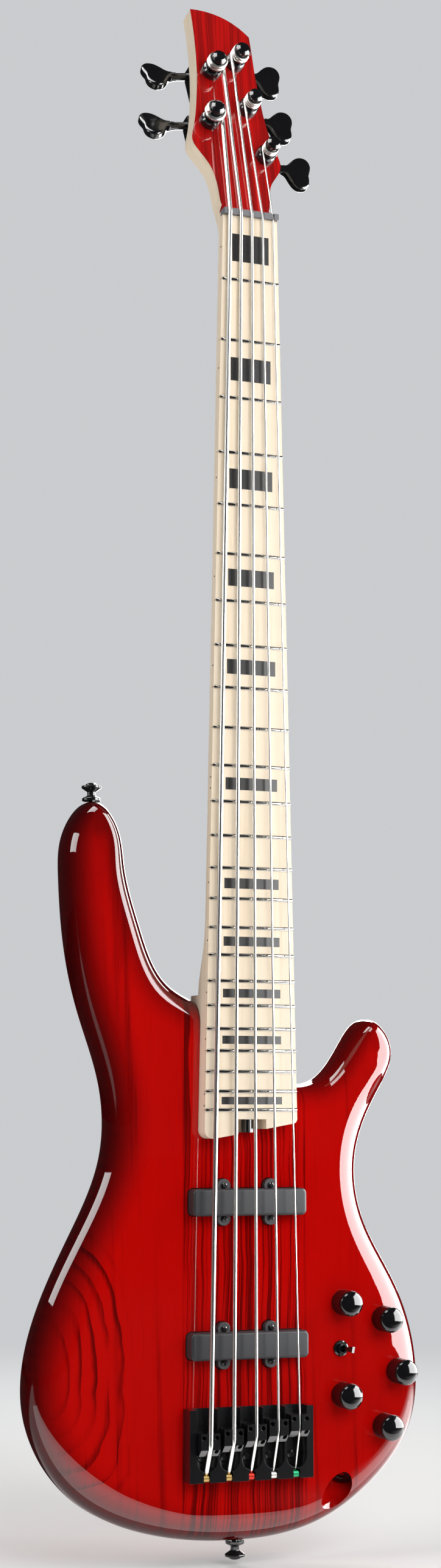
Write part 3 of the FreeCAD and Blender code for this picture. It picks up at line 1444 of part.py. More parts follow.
def make_toggle():
    roof, face = size("cavity_roof"), size("body_thickness")
    across, up = size("toggle_across"), size("toggle_up")
    case = block("toggle_case", "toggle_box_width", "toggle_box_depth", "toggle_box_length",
                 across - size("toggle_box_width") / 2, roof - size("toggle_box_depth"),
                 up - size("toggle_box_length") / 2)
    neck = rod("toggle_neck", "toggle_thread_radius", "body_thickness - cavity_roof + toggle_rise",
               place(across, roof, up, FRONT))
    bore = rod("toggle_bore", "toggle_bore_radius", "body_thickness",
               place(across, face + size("toggle_pivot") - 2 * size("toggle_ball_radius"), up, FRONT))
    pin_low = up - size("toggle_pin_length") / 2
    pin_hole = rod("toggle_pin_hole", "toggle_pin_radius + running_gap", "toggle_pin_length + 2 * overcut",
                   place(across, face + size("toggle_pivot"), pin_low - overcut))
    piece(cut("toggle_body", fuse("toggle_whole", [case, neck]), [bore, pin_hole]), "switch_housing")
    long, wide, thick = (size("toggle_lever_" + part) for part in ("length", "width", "thickness"))
    ball = Part.makeSphere(size("toggle_ball_radius"))
    stem = Part.makeCone(thick / 2, thick * 0.6, long / 2)
    square = ((-1, -1), (1, -1), (1, 1), (-1, 1), (-1, -1))
    blade = Part.makeLoft([
        Part.Wire(Part.makePolygon([Vector(x * thick / 2, y * span / 2, level) for x, y in square]))
        for level, span in ((0.4 * long, thick), (long, wide))], True, True)
    throw = math.radians(size("toggle_throw"))
    pivot = spot(across, face + size("toggle_pivot"), up)
    lever = ball.fuse([stem, blade])
    lever.Placement = Placement(pivot, Rotation(UP, Vector(math.sin(throw), -math.cos(throw), 0)))
    pin = Part.makeCylinder(size("toggle_pin_radius"), size("toggle_pin_length"),
                            spot(across, face + size("toggle_pivot"), pin_low))
    piece(feature("toggle_stick", lever.fuse(pin)), "toggle_lever")


def make_electronics():
    """Preamp board on the backs of the pots, battery, jack, wiring and the rear cover."""
    back = size("cavity_roof") - size("pot_depth")
    plate = Part.makeBox(PREAMP_SPAN[0], size("board_thickness_preamp"), PREAMP_SPAN[1],
                         spot(PREAMP_CORNER[0], back, PREAMP_CORNER[1]))
    chips = []
    for across, up, wide, tall, long in PREAMP_CHIPS:
        chips.append(Part.makeBox(wide, tall, long, spot(across, back - size("board_thickness_preamp"), up)))
    piece(feature("preamp", Part.makeCompound([plate] + chips)), "preamp_board")
    cell = block("battery_block", "battery_width", "battery_thickness", "battery_length", BATTERY_CORNER[0],
                 size("cover_thickness") + size("cover_gap"), BATTERY_CORNER[1])
    piece(cell, "battery")
    jack = turned("jack_body", [
        ("jack_bore_radius", "0"), ("jack_flange_radius", "0"), ("jack_flange_radius", "jack_flange"),
        ("jack_barrel_radius", "jack_flange"), ("jack_barrel_radius", "jack_length"), ("0", "jack_length"),
        ("0", "jack_bore_depth"), ("jack_bore_radius", "jack_bore_depth")],
        along_jack(size("jack_scoop_depth") - size("jack_flange")))
    piece(jack, "output_jack")
    leads = []
    jack_end = along_jack(size("jack_scoop_depth") - size("jack_flange") + size("jack_length")).Base
    for name, route in WIRE_ROUTES.items():
        points = [spot(*point) for point in route]
        if name == "jack_lead":
            points = [jack_end, jack_end + jack_axis * size("jack_lead_start")] + points
        runs = [(end - start).Length for start, end in zip(points, points[1:])]
        radii = []
        for number in range(1, len(points) - 1):
            turn = (points[number] - points[number - 1]).getAngle(points[number + 1] - points[number])
            radii.append(BEND_SHARE * min(runs[number - 1], runs[number]) / math.tan(turn / 2))
        print("wire bends, mm:", ["%.0f" % radius for radius in radii])
        route_edges = rounded_route(points, radii)
        leads.append(tube(route_edges, size("wire_radius"), points[0], points[1] - points[0]))
    piece(feature("wire_set", Part.makeCompound(leads)), "wiring")
    rim = offset_outline(CAVITY_CORNERS, size("cover_ledge"))
    cover = prism("cover_plate", straight(rim), "cover_thickness", place(0, 0, 0))
    rounded(cover, "cavity_corner + cover_ledge", along_depth)
    holes = []
    for number, (across, up) in enumerate(COVER_SCREWS):
        mouth = place(across, -overcut, up, FRONT)
        holes.append(rod("cover_hole_%d" % number, "cover_screw_radius + running_gap",
                         "2 * cover_thickness", mouth))
        holes.append(rod("cover_sink_%d" % number, "2 * cover_screw_radius + running_gap",
                         "cover_screw_sink + overcut", mouth))
    piece(cut("cover_cut", cover, holes), "control_cover")
    fastener = screw("cover_screw", "2 * cover_screw_radius", "cover_screw_radius", "cover_screw_radius",
                     "cover_screw_length")
    seat = size("cover_screw_sink")
    group("cover_screws", fastener, [place(across, seat, up, BACK) for across, up in COVER_SCREWS])


def make_strap_buttons():
    button = turned("strap_button", [
        ("strap_screw_radius + running_gap", "0"), ("strap_base_radius", "0"),
        ("strap_base_radius", "strap_base"), ("strap_waist_radius", "0.35 * strap_length"),
        ("strap_waist_radius", "0.6 * strap_length"),
        ("strap_head_radius", "strap_length - strap_rim"), ("strap_head_radius", "strap_length"),
        ("strap_screw_radius + running_gap", "strap_length")])
    fastener = screw("strap_screw", "2 * strap_screw_radius", "strap_screw_radius", "strap_screw_radius",
                     "strap_screw_length")
    group("strap_buttons", button, strap_places())
    top = Placement(Vector(0, 0, size("strap_length")), Rotation())
    group("strap_screws", fastener, [seat.multiply(top) for seat in strap_places()])


make_body()
make_neck()
make_fingerboard()
make_frets()
make_inlays()
make_dots()
make_nut()
make_truss()
make_neck_bolts()
for number in range(5):
    make_string(number)
make_bridge()
for number in range(5):
    make_saddle(number)
make_pickup("neck_pickup", "neck_pickup_length", size("neck_pickup_place"))
make_pickup("bridge_pickup", "bridge_pickup_length", size("bridge_pickup_place"))
make_foams()
make_tuners()
make_controls()
make_toggle()
make_electronics()
make_strap_buttons()
doc.recompute()

for thing in doc.Objects:
    if "Invalid" in thing.State or "Error" in thing.State:
        raise RuntimeError("%s failed: %s" % (thing.Name, thing.State))
for thing in pieces:
    if thing.Shape.isNull() or not thing.Shape.isValid():
        raise RuntimeError("%s has no valid shape" % thing.Label)

os.makedirs("parts", exist_ok=True)
for thing in pieces:
    print("%-22s %3d solids %12.1f mm3" % (thing.Label, len(thing.Shape.Solids), thing.Shape.Volume))
    thing.Shape.exportStep("parts/%s.step" % thing.Label)
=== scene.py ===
"""Looks of a five-string bass guitar: red lacquered body, maple neck and black hardware."""
import json
import math

import bmesh
import bpy
import numpy as np
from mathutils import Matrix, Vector
from mathutils.geometry import delaunay_2d_cdt


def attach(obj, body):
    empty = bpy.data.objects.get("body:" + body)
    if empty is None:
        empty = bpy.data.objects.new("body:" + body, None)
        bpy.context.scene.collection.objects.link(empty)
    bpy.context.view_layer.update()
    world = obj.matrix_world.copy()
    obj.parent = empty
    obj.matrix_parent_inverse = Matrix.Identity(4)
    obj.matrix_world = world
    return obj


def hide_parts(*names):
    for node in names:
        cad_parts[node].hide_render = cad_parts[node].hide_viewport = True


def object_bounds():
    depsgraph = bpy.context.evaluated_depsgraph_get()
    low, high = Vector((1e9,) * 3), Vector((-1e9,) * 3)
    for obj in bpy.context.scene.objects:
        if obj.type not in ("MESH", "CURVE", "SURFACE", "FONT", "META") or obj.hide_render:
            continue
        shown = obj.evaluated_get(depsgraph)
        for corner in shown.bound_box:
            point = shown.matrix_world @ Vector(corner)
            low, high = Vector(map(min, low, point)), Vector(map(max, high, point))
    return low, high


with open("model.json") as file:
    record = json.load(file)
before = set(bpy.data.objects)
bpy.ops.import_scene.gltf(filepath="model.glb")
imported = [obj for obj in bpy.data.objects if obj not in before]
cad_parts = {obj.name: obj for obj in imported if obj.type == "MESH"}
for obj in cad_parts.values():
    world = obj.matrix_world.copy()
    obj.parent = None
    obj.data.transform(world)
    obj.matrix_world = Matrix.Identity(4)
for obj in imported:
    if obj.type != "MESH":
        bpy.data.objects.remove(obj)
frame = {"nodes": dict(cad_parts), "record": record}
cad_low, cad_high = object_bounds()
nodes = frame["nodes"]
record = frame["record"]
slot_of = {row["node"]: row["material_slot"] for row in record["subparts"]}
body_of = {node: body for body, members in record["behaviour"]["bodies"].items() for node in members}
scene = bpy.context.scene

# Sizes are in millimetres: X to the treble side, Z up the neck, and heights above the back along -Y
MM = 0.001
FRONT = (0, -1, 0)
STRINGS = range(1, 6)

BODY_THICKNESS = 40.0
FRONT_ROLL_DEPTH = 20.0
BACK_ROLL_DEPTH = 14.0
OUTLINE_SAMPLES = 620
ROLL_STEPS = 14
FACE_GRID = 7.0

# Outline of the body: across, up, then the width of the edge roll on the front and on the back
BODY_OUTLINE = np.array([
    (0, -79, 18, 9), (-63, -72, 20, 9), (-122, -43, 26, 10), (-152, 12, 28, 10), (-145.5, 72, 28, 12),
    (-119.5, 131, 22, 17), (-99, 182, 18, 24), (-99.5, 234, 16, 24), (-115, 284, 15, 15),
    (-126, 335, 14, 11), (-129.5, 380, 12, 10), (-124.5, 415, 11, 9), (-108, 431.3, 10, 8),
    (-92.5, 417, 10, 9), (-85, 385, 12, 10), (-74, 345, 13, 12), (-53, 304, 15, 14), (-13, 281, 16, 15),
    (29, 238, 16, 15), (57, 235.5, 14, 13), (83, 261, 13, 10), (103, 281, 10, 9), (118, 265, 11, 9),
    (108, 228, 15, 10), (91, 184, 18, 11), (96, 141, 18, 9), (121, 94, 19, 7.5), (137, 40, 19, 7.5),
    (131, -8, 19, 7.5), (102, -44, 18, 8), (56, -71, 18, 9)], float)

# Routes and recesses that show in the finished body
NECK_POCKET = [(-35.1, 194.8), (-32.0, 346), (32.0, 346), (34.9, 206.8)]
POCKET_CORNERS = [6.2, 0.5, 0.5, 3.7]
POCKET_FLOOR = 20.0
PICKUPS = {"neck_pickup": (84.5, 152.5), "bridge_pickup": (87.0, 55.0)}
PICKUP_WIDTH = 18.6
PICKUP_GAP = 0.5
PICKUP_CORNER = 4.0
EAR_PLACES = [(-17.5, -11.3), (-17.5, 11.3), (17.5, -11.3), (17.5, 11.3)]
EAR_RADIUS = 4.7
JACK_MOUTH = np.array([70.0, -38.0, -47.0])
JACK_AXIS = np.array([0.43, 0.57, 0.70])
JACK_SCOOP_RADIUS = 9.3
JACK_SCOOP_DEPTH = 15.0
JACK_SCOOP_START = 30.0
COVER_CORNERS = [(61, 94), (89, 94), (117, 76), (124.5, 48), (124.5, 12), (111, -15), (61, -15)]
COVER_CORNER = 13.4
COVER_MARGIN = 4.65
COVER_DEPTH = 2.2
FERRULES = [(-22, 216), (22, 214), (-22, 266), (6, 244)]
FERRULE_RADIUS = 7.2
FERRULE_DEPTH = 5.0
CUT_PAST = 1.0

# Headstock: the foot of its face
HEAD_DEPTH = -46.0
HEAD_FOOT = 866.0
HEAD_TILT = math.radians(10)

# Controls
KNOBS = [(74, 81.5), (105, 69.5), (116, 33), (73.5, 18), (105, -4.5)]


# Materials: arithmetic on a wrapped socket adds Math nodes

class Paint:
    """A socket in a material's node tree."""

    def __init__(self, tree, socket=None):
        self.tree = tree
        self.socket = socket

    def node(self, kind, settings=None, inputs=None, output=0):
        """Adds a node: its settings first, then the values or links of its sockets."""
        made = self.tree.nodes.new("ShaderNode" + kind)
        for name, value in (settings or {}).items():
            setattr(made, name, value)
        for name, value in (inputs or {}).items():
            if isinstance(value, Paint):
                self.tree.links.new(value.socket, made.inputs[name])
            else:
                made.inputs[name].default_value = value
        return Paint(self.tree, made.outputs[output])

    def maths(self, operation, first, second=0.0):
        return self.node("Math", {"operation": operation}, {0: first, 1: second})

    def __abs__(self):
        return self.maths("ABSOLUTE", self)

    def __mod__(self, other):
        return self.maths("FLOORED_MODULO", self, other)

    def __add__(self, other):
        return self.maths("ADD", self, other)

    def __radd__(self, other):
        return self.maths("ADD", other, self)

    def __sub__(self, other):
        return self.maths("SUBTRACT", self, other)

    def __rsub__(self, other):
        return self.maths("SUBTRACT", other, self)

    def __mul__(self, other):
        return self.maths("MULTIPLY", self, other)

    def __truediv__(self, other):
        return self.maths("DIVIDE", self, other)

    def __pow__(self, other):
        return self.maths("POWER", self, other)

    def ease(self, low, high):
        """0 below low, 1 above high, with a smooth step between."""
        settings = {"interpolation_type": "SMOOTHSTEP"}
        return self.node("MapRange", settings, {"Value": self, "From Min": low, "From Max": high})

    def blend(self, first, second):
        """The colour first where this value is 0 and second where it is 1."""
        ends = [colour if isinstance(colour, Paint) else (*colour, 1.0) for colour in (first, second)]
        return self.node("Mix", {"data_type": "RGBA"}, {0: self, 6: ends[0], 7: ends[1]}, 2)

    def noise(self, across, depth, up, detail=2.0):
        """Noise between 0 and 1 on a place given by three values."""
        place = self.node("CombineXYZ", None, {"X": across, "Y": depth, "Z": up})
        return self.node("TexNoise", None, {"Vector": place, "Scale": 1.0, "Detail": detail})

    def attribute(self, name):
        return self.node("Attribute", {"attribute_name": name}, output="Fac")


def new_material(name, colour, **sockets):
    """A Principled material of one colour; returns it with its node tree and shader."""
    material = bpy.data.materials.new(name)
    material.use_nodes = True
    shader = material.node_tree.nodes["Principled BSDF"]
    shader.inputs["Base Color"].default_value = (*colour, 1.0)
    for key, value in sockets.items():
        shader.inputs[key.replace("_", " ").title().replace("Ior", "IOR")].default_value = value
    return material, Paint(material.node_tree), shader


def place_mm(paint):
    """Object coordinates in millimetres, as three values."""
    where = paint.node("TexCoord", output="Object")
    return [paint.node("SeparateXYZ", None, {0: where}, axis) * (1 / MM) for axis in range(3)]


def connect(shader, socket, paint):
    paint.tree.links.new(paint.socket, shader.inputs[socket])


RED_BRIGHT = (0.48, 0.0025, 0.0016)
RED_STREAK = (0.13, 0.001, 0.001)
RED_EDGE = (0.030, 0.001, 0.0015)
MAPLE_PALE = (0.83, 0.705, 0.55)
MAPLE_STREAK = (0.74, 0.60, 0.43)
STEEL = (0.64, 0.63, 0.60)
BRASS = (0.30, 0.20, 0.07)
RED_TINT = (0.40, 0.03, 0.02)
WHITE_TINT = (0.45, 0.45, 0.43)
GREEN_TINT = (0.02, 0.22, 0.10)
BLACK_PLATING = (0.006, 0.006, 0.007)
SMOOTH_COAT = 0.02

# Half width of the body's middle plank, whose grain is finer than that of the wings
MIDDLE_PLANK = 45.5


def streaks(paint, across, up):
    """Fine wavy dark lines along Z: noise that changes quickly across the grain and slowly along it."""
    place = across + (paint.noise(across * 0.012, 0.3, up * 0.014) - 0.5) * 9
    fine = paint.noise(place * 0.7, 0.2, up * 0.006, 3.0)
    broad = paint.noise(place * 0.17, 0.7, up * 0.0035, 2.0)
    return (fine * 0.55 + broad * 0.45).ease(0.42, 0.62)


def growth_rings(paint, across, up):
    """Nested arches on the bass wing, open towards the edge: an oval cut into thin uneven rings."""
    wander = paint.noise(across * 0.02, 0.4, up * 0.016) - 0.5
    ripple = paint.noise(across * 0.09, 0.6, up * 0.05) - 0.5
    wide = abs(across + up * 0.09 + 150) / 70
    tall = abs(up - 45) / 92
    measure = (wide ** 3.2 + tall ** 3.2) ** (1 / 3.2) + wander * 0.22 + ripple * 0.035
    phase = (measure * 7.5) % 1.0
    line = phase.ease(0.45, 0.94) * (1 - phase.ease(0.94, 1.0))
    strength = paint.noise(measure * 5.0, 0.1, up * 0.012).ease(0.3, 0.62)
    inside = measure.ease(0.25, 0.4) * (1 - measure.ease(1.0, 1.05))
    return line * strength * inside * across.ease(-150, -112)


def lacquer_body():
    """Red lacquer over ash: streaks in the middle, arches on the bass side, and a burst darker towards the
    edge, with painted shade widening the dark edge on the bass side.
    """
    finish = {"roughness": 0.5, "specular_ior_level": 0.0, "coat_weight": 1.0, "coat_roughness": SMOOTH_COAT}
    material, paint, shader = new_material("red_lacquer", RED_BRIGHT, **finish)
    across, _, up = place_mm(paint)
    side = abs(across)
    wing = side.ease(MIDDLE_PLANK - 0.4, MIDDLE_PLANK + 0.4)
    seam = 1 - abs(side - MIDDLE_PLANK).ease(0.3, 1.2)
    slant = across + up * 0.04
    faint = paint.noise(slant * 0.10, 0.5, up * 0.003, 2.5).ease(0.52, 0.75)
    fibre = paint.noise(across * 0.9, 0.9, up * 0.02, 2.0).ease(0.45, 0.8)
    bass = (across * -1).ease(40, 60)
    wings = (growth_rings(paint, across, up) * bass * 0.9 + faint * 0.5 + fibre * 0.3) * wing
    figure = streaks(paint, across, up) * (1 - wing) * 0.9 + wings + seam * 0.3
    wood = figure.ease(0.0, 1.0).blend(RED_BRIGHT, RED_STREAK)
    # Darker towards the edge: a real burst in the lacquer, plus painted shade from the term in across, which
    # widens the dark edge on the bass side where less light falls.
    burst_and_painted_shade = (paint.attribute("edge_distance") + across.ease(-80, 60) * 8).ease(-3, 31)
    connect(shader, "Base Color", burst_and_painted_shade.blend(RED_EDGE, wood))
    return material


def maple_colour(paint, across, depth, up):
    """Pale maple with faint streaks along the neck."""
    figure = paint.noise(across * 0.22, depth * 0.22, up * 0.004, 3.0).ease(0.45, 0.8)
    return figure.blend(MAPLE_PALE, MAPLE_STREAK)


def maple_neck():
    """Satin maple, with red lacquer on the face of the headstock."""
    material, paint, shader = new_material("maple", MAPLE_PALE, roughness=0.4, specular_ior_level=0.1)
    across, depth, up = place_mm(paint)
    out, past = depth - HEAD_DEPTH, up - HEAD_FOOT
    rise = past * math.sin(HEAD_TILT) - out * math.cos(HEAD_TILT)
    along = past * math.cos(HEAD_TILT) + out * math.sin(HEAD_TILT)
    face = rise.ease(-0.5, -0.3) * along.ease(1.0, 1.5)
    red = (streaks(paint, across, up) * 0.7).blend(RED_BRIGHT, RED_STREAK)
    connect(shader, "Base Color", face.blend(maple_colour(paint, across, depth, up), red))
    connect(shader, "Coat Weight", face)
    shader.inputs["Coat Roughness"].default_value = SMOOTH_COAT
    return material


def maple_board():
    finish = {"roughness": 0.4, "specular_ior_level": 0.2}
    material, paint, shader = new_material("maple_board", MAPLE_PALE, **finish)
    connect(shader, "Base Color", maple_colour(paint, *place_mm(paint)))
    return material


def string_metal():
    """Bright wound steel, with brass or tinted ball ends behind the bridge."""
    material, paint, shader = new_material("string_steel", STEEL, metallic=1.0, roughness=0.32)
    across, _, up = place_mm(paint)
    ball = (up * -1).ease(28.4, 28.6)
    tint = abs(across).ease(7.9, 8.1).blend(RED_TINT, BRASS)
    tint = across.ease(7.9, 8.1).blend(tint, WHITE_TINT)
    tint = across.ease(24.9, 25.1).blend(tint, GREEN_TINT)
    connect(shader, "Base Color", ball.blend(STEEL, tint))
    return material


def plain(name, colour, **sockets):
    return new_material(name, colour, **sockets)[0]


MATERIALS = {
    "red_lacquer": lacquer_body(),
    "maple": maple_neck(),
    "maple_board": maple_board(),
    "string_steel": string_metal(),
    "nickel": plain("nickel", (0.50, 0.49, 0.47), metallic=1.0, roughness=0.14),
    "black_inlay": plain("black_inlay", (0.016, 0.015, 0.015), roughness=0.35),
    "grey_nut": plain("grey_nut", (0.13, 0.13, 0.14), roughness=0.45),
    "steel": plain("steel", (0.5, 0.5, 0.5), metallic=1.0, roughness=0.35),
    "black_metal": plain("black_metal", BLACK_PLATING, roughness=0.18, coat_weight=0.4),
    "black_knob": plain("black_knob", BLACK_PLATING, roughness=0.08),
    "charcoal_plastic": plain("charcoal_plastic", (0.030, 0.031, 0.034), roughness=0.42,
                              specular_ior_level=0.3),
    "foam": plain("foam", (0.03, 0.03, 0.03), roughness=0.9),
    "pot_can": plain("pot_can", (0.6, 0.6, 0.58), metallic=1.0, roughness=0.35),
    "circuit_board": plain("circuit_board", (0.02, 0.10, 0.04), roughness=0.5),
    "battery_case": plain("battery_case", (0.05, 0.05, 0.06), roughness=0.4),
    "wire_sleeve": plain("wire_sleeve", (0.02, 0.02, 0.02), roughness=0.5),
    "cover_plastic": plain("cover_plastic", (0.02, 0.02, 0.021), roughness=0.45),
    "coil_copper": plain("coil_copper", (0.45, 0.20, 0.08), metallic=1.0, roughness=0.4),
}


# Meshes: arrays of points in millimetres, and faces from their grid

MERGE_GAP = 0.002 * MM
CAD_MERGE_GAP = 0.01 * MM
FLAT_ANGLE = math.radians(0.4)


def grid_faces(rows, columns, close_columns=True):
    """Quads between neighbours of a grid of points, whose columns may close into a ring."""
    width = columns if close_columns else columns - 1
    row, column = np.meshgrid(np.arange(rows - 1), np.arange(width), indexing="ij")
    after = (column + 1) % columns
    low, high = row * columns, (row + 1) * columns
    corners = [low + column, low + after, high + after, high + column]
    return np.stack(corners, -1).reshape(-1, 4).tolist()


def new_object(name, points, faces, smooth_angle=35):
    """A mesh object with merged points, outward faces, and smooth shading up to an angle."""
    mesh = bpy.data.meshes.new(name)
    mesh.from_pydata((np.asarray(points).reshape(-1, 3) * MM).tolist(), [], faces)
    cage = bmesh.new()
    cage.from_mesh(mesh)
    bmesh.ops.remove_doubles(cage, verts=cage.verts, dist=MERGE_GAP)
    bmesh.ops.recalc_face_normals(cage, faces=cage.faces)
    cage.to_mesh(mesh)
    cage.free()
    shade(mesh, smooth_angle)
    made = bpy.data.objects.new(name, mesh)
    scene.collection.objects.link(made)
    return made


def shade(mesh, smooth_angle):
    mesh.shade_smooth()
    mesh.set_sharp_from_angle(angle=math.radians(smooth_angle))


def stands_for(piece, node):
    """The piece takes a CAD node's place, body and finish."""
    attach(piece, body_of[node])
    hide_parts(node)
    if not piece.data.materials:
        piece.data.materials.append(MATERIALS[slot_of[node]])


def turned(profile, base, axis, steps=64, wave=None):
    """A profile of (radius, height) pairs turned about an axis; wave adds a radius by row and angle."""
    profile = np.asarray(profile, float)
    axis = np.asarray(axis, float) / np.linalg.norm(axis)
    side = np.cross(axis, (0.0, 0.0, 1.0) if abs(axis[2]) < 0.9 else (1.0, 0.0, 0.0))
    side /= np.linalg.norm(side)
    other = np.cross(axis, side)
    angle = np.linspace(0, 2 * math.pi, steps, endpoint=False)
    radius = np.repeat(profile[:, :1], steps, 1)
    if wave is not None:
        radius = radius + wave(profile, angle)
    ring = np.cos(angle)[:, None] * side + np.sin(angle)[:, None] * other
    points = np.asarray(base) + radius[..., None] * ring + profile[:, 1, None, None] * axis
    return points, grid_faces(len(profile), steps)


def joined(parts):
    """Several (points, faces) grids as one list of points and faces."""
    points, faces, start = [], [], 0
    for part_points, part_faces in parts:
        flat = np.asarray(part_points).reshape(-1, 3)
        faces += [[start + corner for corner in face] for face in part_faces]
        points.append(flat)
        start += len(flat)
    return np.concatenate(points), faces


def prism(outline, low, high):
    """A flat outline in across and up, carried from one height to another."""
    flat = np.asarray(outline, float)
    points = np.stack([np.stack([flat[:, 0], np.full(len(flat), -height), flat[:, 1]], 1)
                       for height in (low, high)])
    count = len(flat)
    caps = [list(range(count)), list(range(count, 2 * count))]
    return points, grid_faces(2, count) + caps


def round_bar(start, axis, radius, length, steps=48):
    """A closed cylinder."""
    return turned([(0, 0), (radius, 0), (radius, length), (0, length)], start, axis, steps)


def rounded_outline(corners, radius, outward=0.0, steps=8):
    """Corners of an outline cut by arcs, after moving its sides outwards; corners run clockwise."""
    here = np.asarray(corners, float)
    radius = np.full(len(here), radius, float)[:, None]
    into = here - np.roll(here, 1, 0)
    into /= np.linalg.norm(into, axis=1)[:, None]
    out_of = np.roll(into, -1, 0)
    normal = np.stack([-into[:, 1], into[:, 0]], 1)
    bisector = normal + np.roll(normal, -1, 0)
    bisector /= (bisector * normal).sum(1)[:, None]
    here = here + bisector * outward
    centre = here - bisector * radius
    turn = np.linspace(0, 1, steps)[None, :, None]
    arm = normal[:, None] * (1 - turn) + np.roll(normal, -1, 0)[:, None] * turn
    arm /= np.linalg.norm(arm, axis=2)[..., None]
    return (centre[:, None] + arm * radius[:, None]).reshape(-1, 2)


def carve(piece, cutters):
    """Cuts closed shapes out of a piece."""
    made = []
    for number, (points, faces) in enumerate(cutters):
        tool = new_object("cutter_%d" % number, points, faces)
        modifier = piece.modifiers.new("cut", "BOOLEAN")
        modifier.operation = "DIFFERENCE"
        modifier.solver = "EXACT"
        modifier.object = tool
        made.append(tool)
    graph = bpy.context.evaluated_depsgraph_get()
    carved = bpy.data.meshes.new_from_object(piece.evaluated_get(graph))
    piece.modifiers.clear()
    piece.data = carved
    for tool in made:
        bpy.data.objects.remove(tool)


def dressed(node, edge=0.0, smooth_angle=35):
    """A merged copy of a CAD solid with smooth shading, and with its edges rounded a little."""
    mesh = nodes[node].data.copy()
    mesh.materials.clear()
    cage = bmesh.new()
    cage.from_mesh(mesh)
    bmesh.ops.remove_doubles(cage, verts=cage.verts, dist=CAD_MERGE_GAP)
    if edge:
        bmesh.ops.dissolve_limit(cage, angle_limit=FLAT_ANGLE, verts=cage.verts, edges=cage.edges)
    cage.to_mesh(mesh)
    cage.free()
    if "custom_normal" in mesh.attributes:
        mesh.attributes.remove(mesh.attributes["custom_normal"])
    shade(mesh, smooth_angle)
    piece = bpy.data.objects.new(node + "_look", mesh)
    scene.collection.objects.link(piece)
    if edge:
        bevel = piece.modifiers.new("edge", "BEVEL")
        bevel.width = edge * MM
        bevel.segments = 2
        bevel.limit_method = "ANGLE"
        bevel.angle_limit = math.radians(smooth_angle)
        bevel.harden_normals = True
    stands_for(piece, node)
    return piece


# The body

def closed_spline(points, samples):
    """Periodic cubic through points, its knots spaced by chord length: one linear system gives its bends."""
    points = np.asarray(points, float)
    count = len(points)
    after = np.roll(points, -1, 0)
    step = np.linalg.norm(after - points, axis=1)
    before = np.roll(step, 1)
    row = np.arange(count)
    matrix = np.diag(2 * (before + step))
    matrix[row, (row - 1) % count] += before
    matrix[row, (row + 1) % count] += step
    slope = (after - points) / step[:, None]
    bend = np.linalg.solve(matrix, 6 * (slope - np.roll(slope, 1, 0)))
    where = np.linspace(0, count, samples, endpoint=False)
    span = where.astype(int)
    share = (where - span)[:, None]
    rest = 1 - share
    width = step[span][:, None]
    curl = (rest ** 3 - rest) * bend[span] + (share ** 3 - share) * np.roll(bend, -1, 0)[span]
    direction = slope - step[:, None] / 6 * (2 * bend + np.roll(bend, -1, 0))
    return points[span] * rest + after[span] * share + width ** 2 / 6 * curl, direction


def body_rings():
    """The outline at rising heights, drawn in along quarter ellipses at the back and the front."""
    flat = BODY_OUTLINE[:, :2]
    direction = closed_spline(flat, len(flat))[1]
    inward = np.stack([direction[:, 1], -direction[:, 0]], 1)
    inward /= np.linalg.norm(inward, axis=1)[:, None]
    turn = np.linspace(0, math.pi / 2, ROLL_STEPS)
    front_start = BODY_THICKNESS - FRONT_ROLL_DEPTH
    back = np.stack([BACK_ROLL_DEPTH * (1 - np.cos(turn)), 1 - np.sin(turn)], 1)
    front = np.stack([front_start + FRONT_ROLL_DEPTH * np.sin(turn), 1 - np.cos(turn)], 1)
    rings = []
    for levels, width in ((back, BODY_OUTLINE[:, 3:4]), (front, BODY_OUTLINE[:, 2:3])):
        for height, share in levels:
            line = closed_spline(flat + inward * width * share, OUTLINE_SAMPLES)[0]
            rings.append(np.stack([line[:, 0], np.full(len(line), -height), line[:, 1]], 1))
    return np.stack(rings)


def edge_distance(points, line):
    """Distance in the plane from each point to the nearest sample of an outline."""
    gaps = points[:, None, :].astype(np.float32) - line[None, :, :].astype(np.float32)
    return np.sqrt((gaps ** 2).sum(2).min(1))


def flat_face(ring):
    """Triangles that fill a flat ring, through a grid of points inside it."""
    line = ring[:, (0, 2)]
    low, high = line.min(0), line.max(0)
    columns, rows = (np.arange(*ends, FACE_GRID) for ends in zip(low, high))
    across, up = np.meshgrid(columns, rows)
    grid = np.stack([across.ravel(), up.ravel()], 1)
    grid = grid[edge_distance(grid, line) > 0.6 * FACE_GRID]
    count = len(line)
    rim = [(corner, (corner + 1) % count) for corner in range(count)]
    places = [Vector(point) for point in np.concatenate([line, grid])]
    points, _, faces, _, _, _ = delaunay_2d_cdt(places, rim, [], 1, 1e-5)
    flat = np.array([tuple(point) for point in points])
    filled = np.stack([flat[:, 0], np.full(len(flat), ring[0, 1]), flat[:, 1]], 1)
    return filled, [list(face) for face in faces]


